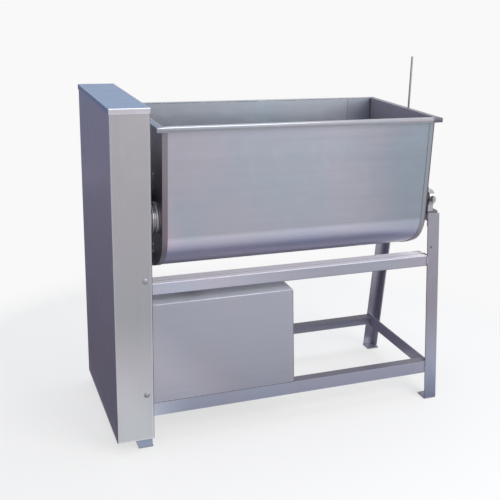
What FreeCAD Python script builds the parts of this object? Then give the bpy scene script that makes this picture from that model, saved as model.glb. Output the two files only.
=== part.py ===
"""Trough dough mixer on a trestle frame, with a chain cabinet at the left end.

Millimetres, +Z up.  The operator stands at -Y, the chain cabinet is at -X.
The origin is the middle of the footprint, on the floor.
"""
import FreeCAD
import Part
import math
import os

V = FreeCAD.Vector
X_AXIS = V(1, 0, 0)

# Overall footprint
overall_length = 1300.0

# Chain cabinet
cabinet_width = 130.0
cabinet_depth = 611.0
cabinet_height = 1216.0
cabinet_clear = 44.0
cabinet_sheet = 2.0
cabinet_return = 18.0
cabinet_fold = 3.0
cap_overhang = 2.0
cap_drop = 18.0
cap_edge = 1.5
panel_sheet = 2.0
cover_bolt_inset = 25.0
cover_bolt_low = 216.0
cover_bolt_high = 636.0
cover_bolt_crown = 3.6
crown_sides = 12

# Trestle legs, which lean towards each other going up
trestle_centre_y = -12.0
trestle_foot_span = 551.0
leg_lean = 0.116
leg_flange = 50.0
leg_side_flange = 38.0
leg_wall = 5.0
foot_size = 52.0
foot_thick = 6.0

# Rails
top_rail_height = 592.0
top_rail_depth = 66.7
top_rail_drop = 42.6
rail_wall = 4.0
rail_fold = 3.0
low_rail_height = 160.0
low_rail_drop = 50.0
low_rail_flange = 38.0
cross_rail_inset = 12.0
head_rise = 164.0
head_drop = 50.0
head_wall = 5.0

# Trough, with its corners set above the top rails and its mouth above the corners
right_end_gap = 99.0
trough_gap = 47.0
corner_rise = 176.0
wall_rise = 380.0
trough_mouth = 510.0
trough_lean = 0.03
trough_sheet = 3.0
corner_radius = 128.0
belly_angle = 30.0
end_flange = 18.7
end_flange_sheet = 2.0
rim_reach = 22.0
rim_drop = 16.3
rim_sheet = 3.0
rim_edge = 2.0

# Tipping axis, through the bearings on the front legs
pivot_y = -178.0
pivot_rise = 62.0
journal_radius = 30.0
right_journal_radius = 15.0
bush_wall = 5.0
hub_radius = 52.0
hub_gap = 2.0
journal_overrun = 2.0
right_flange_half = 55.0
right_flange_corner = 20.0
right_flange_thick = 12.0
trunnion_bolt_circle = 54.0
trunnion_bolt_count = 4
seat_thick = 12.0
left_block_width = 44.0
left_block_length = 132.0
left_block_wall = 14.0
right_block_width = 22.0
right_block_length = 96.0
right_block_wall = 12.0
right_block_overhang = 4.0
right_seat_inset = 10.0
block_base_thick = 12.0
block_corner = 3.0
left_block_ear = 14.0
right_block_ear = 12.0
block_ear_height = 10.0
block_ear_inset = 4.0
foot_bolt_inset = 8.0
cap_split = 1.0

# Agitator
shaft_y = -13.0
shaft_rise = 32.0
shaft_half = 22.5
shaft_radius = 20.0
shaft_step = 2.0
shaft_end = 4.0
sweep_radius = 222.0
blade_depth = 40.0
blade_thick = 10.0
blade_length = 130.0
blade_skew = 35.0
arm_width = 30.0
arm_tip_width = 22.0
arm_sunk = 3.0
collar_size = 72.0
collar_width = 52.0
collar_corner = 16.0
arm_count = 8
arm_step = 90.0
arm_end_inset = 70.0
seal_half = 40.0
seal_corner = 20.0
seal_thick = 8.0
bearing_half = 62.0
bearing_corner = 22.0
bearing_flange_thick = 12.0
bearing_nose_half = 40.0
bearing_nose = 28.0
bearing_bolt_circle = 62.0
bearing_bolt_count = 4

# Chain drive inside the cabinet
chain_pitch = 19.05
roller_radius = 5.95
sprocket_thick = 11.0
tooth_height = 7.5
tip_share = 0.08
small_teeth = 12
large_teeth = 18
sprocket_hub = 6.0
hub_wall = 7.0
lower_chain_x = 36.0
upper_chain_x = 62.0
shaft_overrun = 9.0
plate_height = 17.0
plate_thick = 1.8
counter_radius = 12.5
counter_bush_wall = 4.0
counter_bush_length = 30.0
counter_end_gap = 8.0
output_radius = 15.0
slot_margin = 10.0
tilt_range = 90.0

# Motor and reducer under the trough
box_right = 676.0
box_top = 516.5
box_depth = 340.0
box_sheet = 2.0
box_fold = 2.5
bearer_width = 50.0
bearer_thick = 8.0
bearer_inset = 60.0
bearer_end_gap = 2.0
base_thick = 8.0
base_half = 100.0
base_corner = 8.0
base_inset = 6.0
base_end_gap = 20.0
drive_y = -70.0
drive_height = 118.0
reducer_left = 154.0
reducer_length = 180.0
reducer_half = 86.0
reducer_corner = 30.0
reducer_nose = 24.0
reducer_nose_half = 40.0
reducer_nose_corner = 20.0
reducer_socket = 70.0
motor_length = 250.0
motor_radius = 86.0
motor_rib = 7.0
motor_rib_count = 20
motor_face = 12.0
foot_plate_half = 72.0
foot_web_half = 52.0
foot_plate_length = 120.0
foot_plate_thick = 14.0
foot_plate_inset = 40.0
fan_cowl_length = 60.0
terminal_width = 90.0
terminal_height = 44.0
terminal_start = 80.0
terminal_corner = 5.0

# Tipping bar at the right end, and the rests that carry the trough
bar_radius = 4.0
bar_rise = 194.0
bar_grip = 223.0
bar_offset = 17.0
bar_y = -6.0
lug_length = 24.0
lug_half = 9.0
lug_top_gap = 66.0
rest_size = 40.0
rest_inset = 200.0

# Fits
running_fit = 0.05
loose_fit = 0.3
side_fit = 0.4

# Fasteners
bolt_head_radius = 6.5
bolt_head = 5.3

# Places worked out from the sizes above
left_x = -overall_length / 2
body_x = left_x + cap_overhang
panel_x = body_x + cabinet_width
front_y = -cabinet_depth / 2
leg_right_x = overall_length / 2
leg_left_x = panel_x - panel_sheet - leg_flange
leg_top = top_rail_height + head_rise
trough_x0 = panel_x + trough_gap
trough_x1 = leg_right_x - right_end_gap
trough_y = trestle_centre_y
corner_height = top_rail_height + corner_rise
trough_top = corner_height + wall_rise
seat_top = leg_top + seat_thick
pivot_z = leg_top + pivot_rise
shaft_z = pivot_z + shaft_rise
mixer_reach = math.hypot(shaft_y - pivot_y, shaft_z - pivot_z)
mixer_angle = math.degrees(math.atan2(shaft_z - pivot_z, shaft_y - pivot_y))
bearer_top = low_rail_height + bearer_thick
base_top = bearer_top + base_thick
drive_z = base_top + drive_height
bar_x = trough_x1 + rim_reach + bar_offset
bar_foot = trough_top - bar_grip
bar_top = trough_top + bar_rise


def box(x0, x1, y0, y1, z0, z1):
    """Block between two corners."""
    return Part.makeBox(x1 - x0, y1 - y0, z1 - z0, V(x0, y0, z0))


def rod(radius, x0, x1, y, z):
    """Round bar along X."""
    return Part.makeCylinder(radius, x1 - x0, V(x0, y, z), X_AXIS)


def tube(outer, inner, x0, x1, y, z):
    """Round tube along X."""
    return rod(outer, x0, x1, y, z).cut(rod(inner, x0 - 1, x1 + 1, y, z))


def eight_sided(half, corner, x0, x1, y, z):
    """Square bar along X with its four long edges cut back by corner."""
    bar = box(x0, x1, y - half, y + half, z - half, z + half)
    long_edges = [e for e in bar.Edges if abs(e.BoundBox.XLength - (x1 - x0)) < 0.01
                  and e.BoundBox.YLength + e.BoundBox.ZLength < 0.01]
    return bar.makeChamfer(corner, long_edges)


def ring_places(count, radius, y, z, start=0.0):
    """Evenly spaced places on a circle round an X axis."""
    places = []
    for i in range(count):
        turn = math.radians(start + 360.0 * i / count)
        places.append((y + radius * math.cos(turn), z + radius * math.sin(turn)))
    return places


def together(solids):
    """Separate solids kept in one group."""
    return Part.makeCompound(solids)


def save(name, shape):
    """Write one sub-part."""
    shape.exportStep(os.path.join("parts", name + ".step"))


def front_plane(z):
    """Y of the front legs' outer face at height z."""
    return trestle_centre_y - trestle_foot_span / 2 + leg_lean * z


def rear_plane(z):
    """Y of the rear legs' outer face at height z."""
    return trestle_centre_y + trestle_foot_span / 2 - leg_lean * z


def leaning(face_points, z0, z1, side):
    """Profile at height z0, drawn up along the lean of the front or rear legs."""
    profile = Part.makePolygon([V(x, y, z0) for x, y in face_points + face_points[:1]])
    rise = z1 - z0
    return Part.Face(profile).extrude(V(0, side * leg_lean * rise, rise))


def leg(x_corner, x_dir, side):
    """Angle leg: one flange across the front or rear, one along the end."""
    start = front_plane(foot_thick) if side > 0 else rear_plane(foot_thick)
    x_edge = x_corner - x_dir * leg_flange
    x_wall = x_corner - x_dir * leg_wall
    y_wall = start + side * leg_wall
    y_deep = start + side * leg_side_flange
    points = [(x_corner, start), (x_edge, start), (x_edge, y_wall), (x_wall, y_wall),
              (x_wall, y_deep), (x_corner, y_deep)]
    return leaning(points, foot_thick, leg_top, side)


def foot(x_corner, x_dir, side):
    """Flat foot plate under a leg, level with the leg's outer corner."""
    y_corner = front_plane(foot_thick) if side > 0 else rear_plane(foot_thick)
    xs = sorted([x_corner, x_corner - x_dir * foot_size])
    ys = sorted([y_corner, y_corner + side * foot_size])
    return box(xs[0], xs[1], ys[0], ys[1], 0, foot_thick)


def top_rail(side):
    """Channel laid on its web, between the two trestles."""
    y_outer = front_plane(top_rail_height) if side > 0 else rear_plane(top_rail_height)
    y_inner = y_outer + side * top_rail_depth
    low = top_rail_height - top_rail_drop
    right = leg_right_x - leg_flange
    ys = sorted([y_outer, y_inner])
    channel = box(panel_x, right, ys[0], ys[1], low, top_rail_height)
    hollow = box(panel_x - 1, right + 1, ys[0] + rail_wall, ys[1] - rail_wall,
                 low - 1, top_rail_height - rail_wall)
    folds = [e for e in channel.Edges if e.BoundBox.XLength > top_rail_depth and e.BoundBox.ZMin > low + 1]
    return channel.makeFillet(rail_fold, folds).cut(hollow)


def low_rail(side):
    """Angle between the trestles near the floor, its upright flange outside."""
    low = low_rail_height - low_rail_drop
    y_outer = front_plane(low_rail_height) if side > 0 else rear_plane(low_rail_height)
    y_wall = y_outer + side * rail_wall
    y_inner = y_outer + side * low_rail_flange
    right = leg_right_x - leg_flange
    points = [(y_outer, low), (y_outer, low_rail_height), (y_inner, low_rail_height),
              (y_inner, low_rail_height - rail_wall), (y_wall, low_rail_height - rail_wall), (y_wall, low)]
    wire = Part.makePolygon([V(panel_x, y, z) for y, z in points + points[:1]])
    return Part.Face(wire).extrude(V(right - panel_x, 0, 0))


def cross_prism(x_a, x_b, z_a, z_b):
    """Straight bar between the front and rear legs' inner faces, its ends following their lean."""
    outline = [V(x_a, front_plane(z_a) + leg_wall, z_a), V(x_a, rear_plane(z_a) - leg_wall, z_a),
               V(x_a, rear_plane(z_b) - leg_wall, z_b), V(x_a, front_plane(z_b) + leg_wall, z_b)]
    return Part.Face(Part.makePolygon(outline + outline[:1])).extrude(V(x_b - x_a, 0, 0))


def end_rail(x_plate, x_far, low, top, wall, shelf_on_top):
    """Angle across one trestle: an upright flange at x_plate and a level one that reaches to x_far."""
    toward = 1 if x_far > x_plate else -1
    plate = cross_prism(x_plate, x_plate + toward * wall, low, top)
    shelf_low = top - wall if shelf_on_top else low
    shelf = cross_prism(x_plate, x_far, shelf_low, shelf_low + wall)
    return plate.fuse(shelf).removeSplitter()


def outline_values(offset):
    """Half distance between the corner centres, corner radius, belly radius and belly centre's height."""
    lean = math.atan(trough_lean)
    phi = math.radians(belly_angle)
    wall_drop = (wall_rise + corner_radius * math.sin(lean)) / math.cos(lean)
    reach = trough_mouth / 2 - wall_drop * math.sin(lean) - corner_radius * math.cos(lean)
    radius = corner_radius + offset
    return reach, radius, radius + reach / math.sin(phi), corner_height + reach / math.tan(phi)


def trough_outline(offset, x):
    """Closed section of the trough, moved outwards by offset: leaning walls, round corners, wide belly."""
    lean = math.atan(trough_lean)
    reach, radius, belly_radius, belly_z = outline_values(offset)

    def place(side, dy, z):
        return V(x, trough_y + side * dy, z)

    def corner_point(side, turn):
        return place(side, reach + radius * math.cos(turn), corner_height + radius * math.sin(turn))

    foot_turn = -lean
    join_turn = math.radians(belly_angle) - math.pi / 2
    middle_turn = (foot_turn + join_turn) / 2
    wall_top = wall_rise + radius * math.sin(lean)
    half_mouth = reach + radius * math.cos(lean) + wall_top * trough_lean
    edges = []
    for s in (-1, 1):
        wall = Part.LineSegment(place(s, half_mouth, trough_top), corner_point(s, foot_turn))
        corner = Part.Arc(corner_point(s, foot_turn), corner_point(s, middle_turn),
                          corner_point(s, join_turn))
        edges += [wall.toShape(), corner.toShape()]
    bottom = place(1, 0, belly_z - belly_radius)
    belly = Part.Arc(corner_point(-1, join_turn), bottom, corner_point(1, join_turn))
    lid = Part.LineSegment(place(1, half_mouth, trough_top), place(-1, half_mouth, trough_top))
    return Part.Wire(Part.__sortEdges__(edges + [belly.toShape(), lid.toShape()]))


def trough_block(offset, x0, x1):
    """Solid of the trough's section between two places along its length."""
    return Part.Face(trough_outline(offset, x0)).extrude(V(x1 - x0, 0, 0))


def trough_shell():
    """Wrapper sheet that makes the front wall, the bottom and the rear wall."""
    outer = trough_block(0, trough_x0 + trough_sheet, trough_x1 - trough_sheet)
    return outer.cut(trough_block(-trough_sheet, trough_x0, trough_x1))


def trough_end(x_out, inward):
    """End plate with a flange folded round the outside of the wrapper."""
    xs = sorted([x_out, x_out + inward * trough_sheet])
    plate = trough_block(0, xs[0], xs[1])
    fs = sorted([x_out, x_out + inward * end_flange])
    band = trough_block(end_flange_sheet, fs[0], fs[1]).cut(trough_block(0, fs[0] - 1, fs[1] + 1))
    hole = rod(shaft_radius + loose_fit, xs[0] - 1, xs[1] + 1, shaft_y, shaft_z)
    return plate.fuse(band).removeSplitter().cut(hole)


def trough_rim():
    """Folded rim round the mouth: a level flange with its edge turned down."""
    half = trough_mouth / 2 + rim_reach
    x0 = trough_x0 - rim_reach
    x1 = trough_x1 + rim_reach
    low = trough_top - rim_drop
    block = box(x0, x1, trough_y - half, trough_y + half, low, trough_top)
    soft = [e for e in block.Edges
            if e.BoundBox.ZMax > trough_top - 0.1 or e.BoundBox.ZLength > rim_drop - 0.1]
    block = block.makeChamfer(rim_edge, soft)
    hollow = box(x0 + rim_sheet, x1 - rim_sheet, trough_y - half + rim_sheet, trough_y + half - rim_sheet,
                 low - 1, trough_top - rim_sheet)
    block = block.cut(hollow)
    block = block.cut(trough_block(0, trough_x0 + 1, trough_x1 - 1))
    for x_a, x_b in ((trough_x0, trough_x0 + end_flange), (trough_x1 - end_flange, trough_x1)):
        block = block.cut(trough_block(end_flange_sheet, x_a, x_b))
    return block


def hexagon(origin, axis):
    """Hexagon bolt head standing on a face at origin, pointing along axis."""
    across = V(0, 1, 0) if abs(axis.x) > 0.5 else X_AXIS
    third = axis.cross(across)
    points = []
    for i in range(7):
        turn = math.radians(60 * i)
        radial = across * math.cos(turn) + third * math.sin(turn)
        points.append(origin + radial * bolt_head_radius)
    return Part.Face(Part.makePolygon(points)).extrude(axis * bolt_head)


def dome_bolt(x, y, z, side):
    """Low crowned bolt head on a face that looks along Y."""
    rings = []
    for radius, height in ((bolt_head_radius, 0), (bolt_head_radius, bolt_head - cover_bolt_crown),
                           (bolt_head_radius / 2, bolt_head)):
        points = []
        for i in range(crown_sides + 1):
            turn = 2 * math.pi * i / crown_sides
            points.append(V(x + radius * math.cos(turn), y + side * height, z + radius * math.sin(turn)))
        rings.append(Part.makePolygon(points))
    return Part.makeLoft(rings[:2], True, True).fuse(Part.makeLoft(rings[1:], True, True))


def cabinet_cover():
    """Folded sheet round the front, left and rear of the cabinet, with returns for the inner panel."""
    top = cabinet_height - cabinet_sheet
    inner_x = panel_x - panel_sheet
    outer = box(body_x, inner_x, front_y, -front_y, cabinet_clear, top)
    folds = [e for e in outer.Edges if e.BoundBox.ZLength > top / 2 and e.BoundBox.XMax < body_x + 1]
    outer = outer.makeFillet(cabinet_fold, folds)
    y_in = cabinet_depth / 2 - cabinet_sheet
    y_window = cabinet_depth / 2 - cabinet_return
    low = cabinet_clear - 1
    hollow = box(body_x + cabinet_sheet, inner_x - cabinet_sheet, -y_in, y_in, low, top + 1)
    window = box(inner_x - cabinet_sheet - 1, inner_x + 1, -y_window, y_window, low, top + 1)
    return outer.cut(hollow).cut(window)


def arc_slot(x0, x1):
    """Cutter for the path that the mixing shaft takes as the trough tips."""
    half = shaft_radius + slot_margin
    ring = tube(mixer_reach + half, mixer_reach - half, x0, x1, pivot_y, pivot_z)
    far = 2 * mixer_reach
    wedge_points = [V(x0, pivot_y, pivot_z)]
    for i in range(5):
        turn = math.radians(mixer_angle + tilt_range * i / 4)
        wedge_points.append(V(x0, pivot_y + far * math.cos(turn), pivot_z + far * math.sin(turn)))
    wedge_points.append(wedge_points[0])
    wedge = Part.Face(Part.makePolygon(wedge_points)).extrude(V(x1 - x0, 0, 0))
    slot = ring.common(wedge)
    for angle in (mixer_angle, mixer_angle + tilt_range):
        turn = math.radians(angle)
        slot = slot.fuse(rod(half, x0, x1, pivot_y + mixer_reach * math.cos(turn),
                             pivot_z + mixer_reach * math.sin(turn)))
    return slot


def cabinet_panel():
    """Flat plate between the cabinet and the trough, with the holes that the shafts need."""
    x0 = panel_x - panel_sheet
    top = cabinet_height - cabinet_sheet
    plate = box(x0, panel_x, front_y, -front_y, cabinet_clear, top)
    plate = plate.cut(arc_slot(x0 - 1, panel_x + 1))
    plate = plate.cut(rod(journal_radius + slot_margin, x0 - 1, panel_x + 1, pivot_y, pivot_z))
    return plate.cut(rod(output_radius + slot_margin, x0 - 1, panel_x + 1, drive_y, drive_z))


def cabinet_cap():
    """Lid that slips over the cabinet's top."""
    x0 = body_x - cap_overhang
    x1 = panel_x + cap_overhang
    y_half = cabinet_depth / 2 + cap_overhang
    low = cabinet_height - cap_drop
    lid = box(x0, x1, -y_half, y_half, low, cabinet_height)
    soft = [e for e in lid.Edges if e.BoundBox.ZMax > cabinet_height - 0.1]
    lid = lid.makeChamfer(cap_edge, soft)
    return lid.cut(box(body_x, panel_x, front_y, -front_y, low - 1, cabinet_height - cabinet_sheet))


def cover_bolts():
    """Domed heads that hold the cabinet to the trestle, front and rear."""
    heads = []
    for side in (-1, 1):
        for z in (cover_bolt_low, cover_bolt_high):
            heads.append(dome_bolt(panel_x - cover_bolt_inset, side * cabinet_depth / 2, z, side))
    return together(heads)


def bearing_block(x0, x1, y_a, y_b, bore, wall, ear):
    """Foot and lower half, and upper half, of a split plain bearing whose foot runs from y_a to y_b."""
    outer = bore + wall
    base = box(x0, x1, y_a, y_b, seat_top, seat_top + block_base_thick)
    corners = [e for e in base.Edges if e.BoundBox.ZLength > block_base_thick - 0.1]
    base = base.makeChamfer(block_corner, corners)
    cheek = box(x0, x1, max(pivot_y - outer, y_a), min(pivot_y + outer, y_b), seat_top, pivot_z)
    ear_reach = outer + ear
    ears = box(x0 + block_ear_inset, x1 - block_ear_inset, pivot_y - ear_reach, pivot_y + ear_reach,
               pivot_z - block_ear_height, pivot_z + block_ear_height)
    whole = base.fuse(cheek).fuse(rod(outer, x0, x1, pivot_y, pivot_z)).fuse(ears)
    whole = whole.cut(rod(bore, x0 - 1, x1 + 1, pivot_y, pivot_z))
    far = ear_reach + y_b - y_a
    below = box(x0 - 1, x1 + 1, pivot_y - far, pivot_y + far, 0, pivot_z - cap_split / 2)
    above = box(x0 - 1, x1 + 1, pivot_y - far, pivot_y + far, pivot_z + cap_split / 2, pivot_z + far)
    return whole.common(below).removeSplitter(), whole.common(above).removeSplitter()


def block_bolts(x0, x1, foot_places, bore, wall, ear):
    """Foot bolts of a bearing block, and the two bolts that close its cap."""
    x = (x0 + x1) / 2
    up = V(0, 0, 1)
    bolts = [hexagon(V(x, y, seat_top + block_base_thick), up) for y in foot_places]
    for side in (-1, 1):
        y_ear = pivot_y + side * (bore + wall + max(ear / 2, bolt_head_radius))
        bolts.append(hexagon(V(x, y_ear, pivot_z + block_ear_height), up))
    return bolts


def trunnion_left():
    """Hollow trunnion at the chain end: a hub and a journal."""
    hub_left = panel_x + hub_gap
    journal_left = leg_left_x - journal_overrun
    part = rod(hub_radius, hub_left, trough_x0, pivot_y, pivot_z)
    part = part.fuse(rod(journal_radius, journal_left, hub_left, pivot_y, pivot_z))
    bore = counter_radius + counter_bush_wall
    return part.cut(rod(bore, journal_left - 1, trough_x0 - panel_sheet, pivot_y, pivot_z))


def trunnion_right():
    """Solid trunnion at the far end: bolted flange and journal."""
    flange_right = trough_x1 + right_flange_thick
    journal_right = leg_right_x - leg_flange - right_block_overhang + right_block_width + journal_overrun
    flange = eight_sided(right_flange_half, right_flange_corner, trough_x1, flange_right, pivot_y, pivot_z)
    return flange.fuse(rod(right_journal_radius, flange_right, journal_right, pivot_y, pivot_z))


def trunnion_bolts():
    """Heads round the flange of the right trunnion."""
    x = trough_x1 + right_flange_thick
    places = ring_places(trunnion_bolt_count, trunnion_bolt_circle, pivot_y, pivot_z, 45.0)
    return together([hexagon(V(x, y, z), X_AXIS) for y, z in places])


def pitch_circle(teeth):
    """Radius of the circle on which the chain's rollers lie."""
    return chain_pitch / (2 * math.sin(math.pi / teeth))


def sprocket(teeth, x_mid, y, z, bore):
    """Toothed wheel with a hub on one side: straight flanks, a blunt tip and a seat for each roller."""
    pitch = pitch_circle(teeth)
    step = 2 * math.pi / teeth
    seat_turn = math.asin((roller_radius + running_fit) / pitch)
    x0 = x_mid - sprocket_thick / 2
    tip = pitch + tooth_height
    tooth = ((pitch, -seat_turn), (pitch - roller_radius, 0.0), (pitch, seat_turn),
             (tip, step * (0.5 - tip_share)), (tip, step * (0.5 + tip_share)))
    points = []
    for i in range(teeth):
        for radius, turn in tooth:
            angle = i * step + turn
            points.append(V(x0, y + radius * math.cos(angle), z + radius * math.sin(angle)))
    disc = Part.Face(Part.makePolygon(points + points[:1])).extrude(V(sprocket_thick, 0, 0))
    hub_start = x0 + sprocket_thick
    hub = eight_sided(bore + hub_wall, hub_wall, hub_start, hub_start + sprocket_hub, y, z)
    return disc.fuse(hub).removeSplitter().cut(rod(bore, x0 - 1, hub_start + sprocket_hub + 1, y, z))


def loop_face(x, y1, z1, r1, teeth1, y2, z2, r2, teeth2):
    """Face inside a chain line round two wheels, with one corner for each link on a wheel."""
    reach = math.hypot(y2 - y1, z2 - z1)
    heading = math.atan2(z2 - z1, y2 - y1)
    spread = math.acos((r1 - r2) / reach)
    points = []
    for y, z, radius, teeth, start, wrap in (
            (y1, z1, r1, teeth1, heading + spread, 2 * math.pi - 2 * spread),
            (y2, z2, r2, teeth2, heading - spread, 2 * spread)):
        links = round(teeth * wrap / (2 * math.pi))
        for i in range(links + 1):
            turn = start + wrap * i / links
            points.append(V(x, y + radius * math.cos(turn), z + radius * math.sin(turn)))
    return Part.Face(Part.makePolygon(points + points[:1]))


def chain(x_mid, y1, z1, teeth1, y2, z2, teeth2):
    """Chain as its two rows of side plates, one each side of the sprockets' teeth."""
    r1 = pitch_circle(teeth1)
    r2 = pitch_circle(teeth2)
    half = plate_height / 2
    rows = []
    for side in (-1, 1):
        x0 = x_mid + side * (sprocket_thick / 2 + side_fit) - (plate_thick if side < 0 else 0)
        outer = loop_face(x0, y1, z1, r1 + half, teeth1, y2, z2, r2 + half, teeth2)
        inner = loop_face(x0 - 1, y1, z1, r1 - half, teeth1, y2, z2, r2 - half, teeth2)
        rows.append(outer.extrude(V(plate_thick, 0, 0)).cut(inner.extrude(V(plate_thick + 2, 0, 0))))
    return together(rows)


def square_wire(x_mid, width, z):
    """Level square outline round an arm's centre line."""
    half = width / 2
    corners = ((-half, -half), (half, -half), (half, half), (-half, half), (-half, -half))
    return Part.makePolygon([V(x_mid + dx, dy, z) for dx, dy in corners])


def paddle(x_mid, angle):
    """One mixing arm: collar on the square shaft, tapered arm and slanted blade with a round outer edge."""
    half = collar_size / 2
    collar = eight_sided(half, collar_corner, x_mid - collar_width / 2, x_mid + collar_width / 2, 0, 0)
    arm_end = sweep_radius - blade_depth / 2
    arm_start = square_wire(x_mid, arm_width, half - arm_sunk)
    arm = Part.makeLoft([arm_start, square_wire(x_mid, arm_tip_width, arm_end)], True, True)
    plate = Part.makeBox(blade_length, blade_thick, 2 * blade_depth,
                         V(-blade_length / 2, -blade_thick / 2, sweep_radius - 1.5 * blade_depth))
    plate.rotate(V(0, 0, 0), V(0, 0, 1), blade_skew)
    plate.translate(V(x_mid, 0, 0))
    band = tube(sweep_radius, sweep_radius - blade_depth, x_mid - blade_length, x_mid + blade_length, 0, 0)
    part = collar.fuse(arm).fuse(plate.common(band)).removeSplitter()
    part = part.cut(box(x_mid - collar_width, x_mid + collar_width, -shaft_half, shaft_half,
                        -shaft_half, shaft_half))
    part.rotate(V(0, 0, 0), X_AXIS, angle)
    part.translate(V(0, shaft_y, shaft_z))
    return part


def paddles():
    """All arms, spaced along the shaft and turned so that every side is swept."""
    first = trough_x0 + trough_sheet + arm_end_inset
    last = trough_x1 - trough_sheet - arm_end_inset
    step = (last - first) / (arm_count - 1)
    return together([paddle(first + i * step, i * arm_step) for i in range(arm_count)])


def agitator_shaft():
    """Square mixing shaft, turned round where the seals and the bearings hold it."""
    left_end = body_x + upper_chain_x - sprocket_thick / 2 - shaft_overrun
    right_end = trough_x1 + bearing_nose + shaft_end
    turned = trough_sheet + seal_thick + shaft_step
    part = box(trough_x0 + turned, trough_x1 - turned, shaft_y - shaft_half, shaft_y + shaft_half,
               shaft_z - shaft_half, shaft_z + shaft_half)
    return part.fuse(rod(shaft_radius, left_end, right_end, shaft_y, shaft_z))


def agitator_bearing(x_face, outward):
    """Flanged bearing on the outside of an end plate."""
    fs = sorted([x_face, x_face + outward * bearing_flange_thick])
    ns = sorted([x_face, x_face + outward * bearing_nose])
    flange = eight_sided(bearing_half, bearing_corner, fs[0], fs[1], shaft_y, shaft_z)
    nose = eight_sided(bearing_nose_half, bearing_corner, ns[0], ns[1], shaft_y, shaft_z)
    flange = flange.fuse(nose).removeSplitter()
    return flange.cut(rod(shaft_radius + running_fit, ns[0] - 1, ns[1] + 1, shaft_y, shaft_z))


def bearing_bolts(x_face, outward):
    """Four heads round a flanged bearing."""
    x = x_face + outward * bearing_flange_thick
    places = ring_places(bearing_bolt_count, bearing_bolt_circle, shaft_y, shaft_z, 45.0)
    return [hexagon(V(x, y, z), V(outward, 0, 0)) for y, z in places]


def shaft_seal(x_inner, inward):
    """Seal plate inside the trough where the shaft goes through an end plate."""
    xs = sorted([x_inner, x_inner + inward * seal_thick])
    plate = eight_sided(seal_half, seal_corner, xs[0], xs[1], shaft_y, shaft_z)
    return plate.cut(rod(shaft_radius + running_fit, xs[0] - 1, xs[1] + 1, shaft_y, shaft_z))


def bearer_places():
    """Left edges of the two bearers."""
    return (panel_x + bearer_inset, body_x + box_right - bearer_inset - bearer_width)


def motor_box():
    """Sheet cover over the motor, open below and towards the cabinet; its front follows the legs' lean."""
    x1 = body_x + box_right
    low = low_rail_height
    top = box_top
    rear = front_plane(low) + box_depth

    def shape(x_a, x_b, inset, z_a):
        points = [(front_plane(z_a) + inset, z_a), (front_plane(top) + inset, top - inset),
                  (rear - inset, top - inset), (rear - inset, z_a)]
        wire = Part.makePolygon([V(x_a, y, z) for y, z in points + points[:1]])
        return Part.Face(wire).extrude(V(x_b - x_a, 0, 0))

    outer = shape(panel_x, x1, 0, low)
    folds = [e for e in outer.Edges if e.BoundBox.ZMin > top - 1 and e.BoundBox.YLength < 1]
    outer = outer.makeFillet(box_fold, folds)
    cover = outer.cut(shape(panel_x - 1, x1 - box_sheet, box_sheet, low - 1))
    for x in bearer_places():
        cover = cover.cut(box(x - side_fit, x + bearer_width + side_fit, rear - 2 * box_sheet, rear + 1,
                              low - 1, bearer_top + side_fit))
    return cover


def motor_bearers():
    """Two flat bars across the lower rails."""
    y0 = front_plane(low_rail_height) + box_sheet + bearer_end_gap
    y1 = rear_plane(low_rail_height) - bearer_end_gap
    return together([box(x, x + bearer_width, y0, y1, low_rail_height, bearer_top) for x in bearer_places()])


def motor_base():
    """Plate that carries the reducer and the motor."""
    x0 = body_x + reducer_left + base_inset
    x1 = body_x + box_right - base_end_gap
    plate = box(x0, x1, drive_y - base_half, drive_y + base_half, bearer_top, base_top)
    return plate.makeChamfer(base_corner, [e for e in plate.Edges if e.BoundBox.ZLength > base_thick / 2])


def foot_plate(x0):
    """Flat foot under the reducer or the motor, and the web that stands on it."""
    x1 = x0 + foot_plate_length
    wide = foot_plate_half
    pad = box(x0, x1, drive_y - wide, drive_y + wide, base_top, base_top + foot_plate_thick)
    narrow = foot_web_half
    web = box(x0, x1, drive_y - narrow, drive_y + narrow, base_top, drive_z - motor_radius / 2)
    return pad.fuse(web)


def reducer_foot_x():
    """Left end of the reducer's foot."""
    return body_x + reducer_left + foot_plate_inset


def motor_foot_x():
    """Left end of the motor's foot."""
    return body_x + reducer_left + reducer_length + foot_plate_inset


def gear_reducer():
    """Reducer housing: chamfered cast case on a foot, with a nose for the output shaft."""
    x0 = body_x + reducer_left
    x1 = x0 + reducer_length
    case_left = x0 + reducer_nose
    case = eight_sided(reducer_half, reducer_corner, case_left, x1, drive_y, drive_z)
    nose = eight_sided(reducer_nose_half, reducer_nose_corner, x0, case_left, drive_y, drive_z)
    part = case.fuse(nose).fuse(foot_plate(reducer_foot_x())).removeSplitter()
    return part.cut(rod(output_radius + running_fit, x0 - 1, x0 + reducer_socket, drive_y, drive_z))


def motor_body():
    """Motor frame with cooling ribs along its length."""
    x0 = body_x + reducer_left + reducer_length
    x1 = x0 + motor_length
    step = 2 * math.pi / motor_rib_count
    points = []
    for i in range(motor_rib_count):
        for radius, share in ((motor_radius - motor_rib, -0.25), (motor_radius, -0.12),
                              (motor_radius, 0.12), (motor_radius - motor_rib, 0.25)):
            turn = (i + share) * step
            y = drive_y + radius * math.cos(turn)
            z = drive_z + radius * math.sin(turn)
            points.append(V(x0 + motor_face, y, z))
    ribs = Part.Face(Part.makePolygon(points + points[:1])).extrude(V(x1 - x0 - motor_face, 0, 0))
    face = eight_sided(motor_radius, reducer_corner, x0, x0 + motor_face, drive_y, drive_z)
    return ribs.fuse(face).fuse(foot_plate(motor_foot_x())).removeSplitter()


def fan_cowl():
    """Round cowl over the motor's fan end."""
    x0 = body_x + reducer_left + reducer_length + motor_length
    return rod(motor_radius, x0, x0 + fan_cowl_length, drive_y, drive_z)


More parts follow.
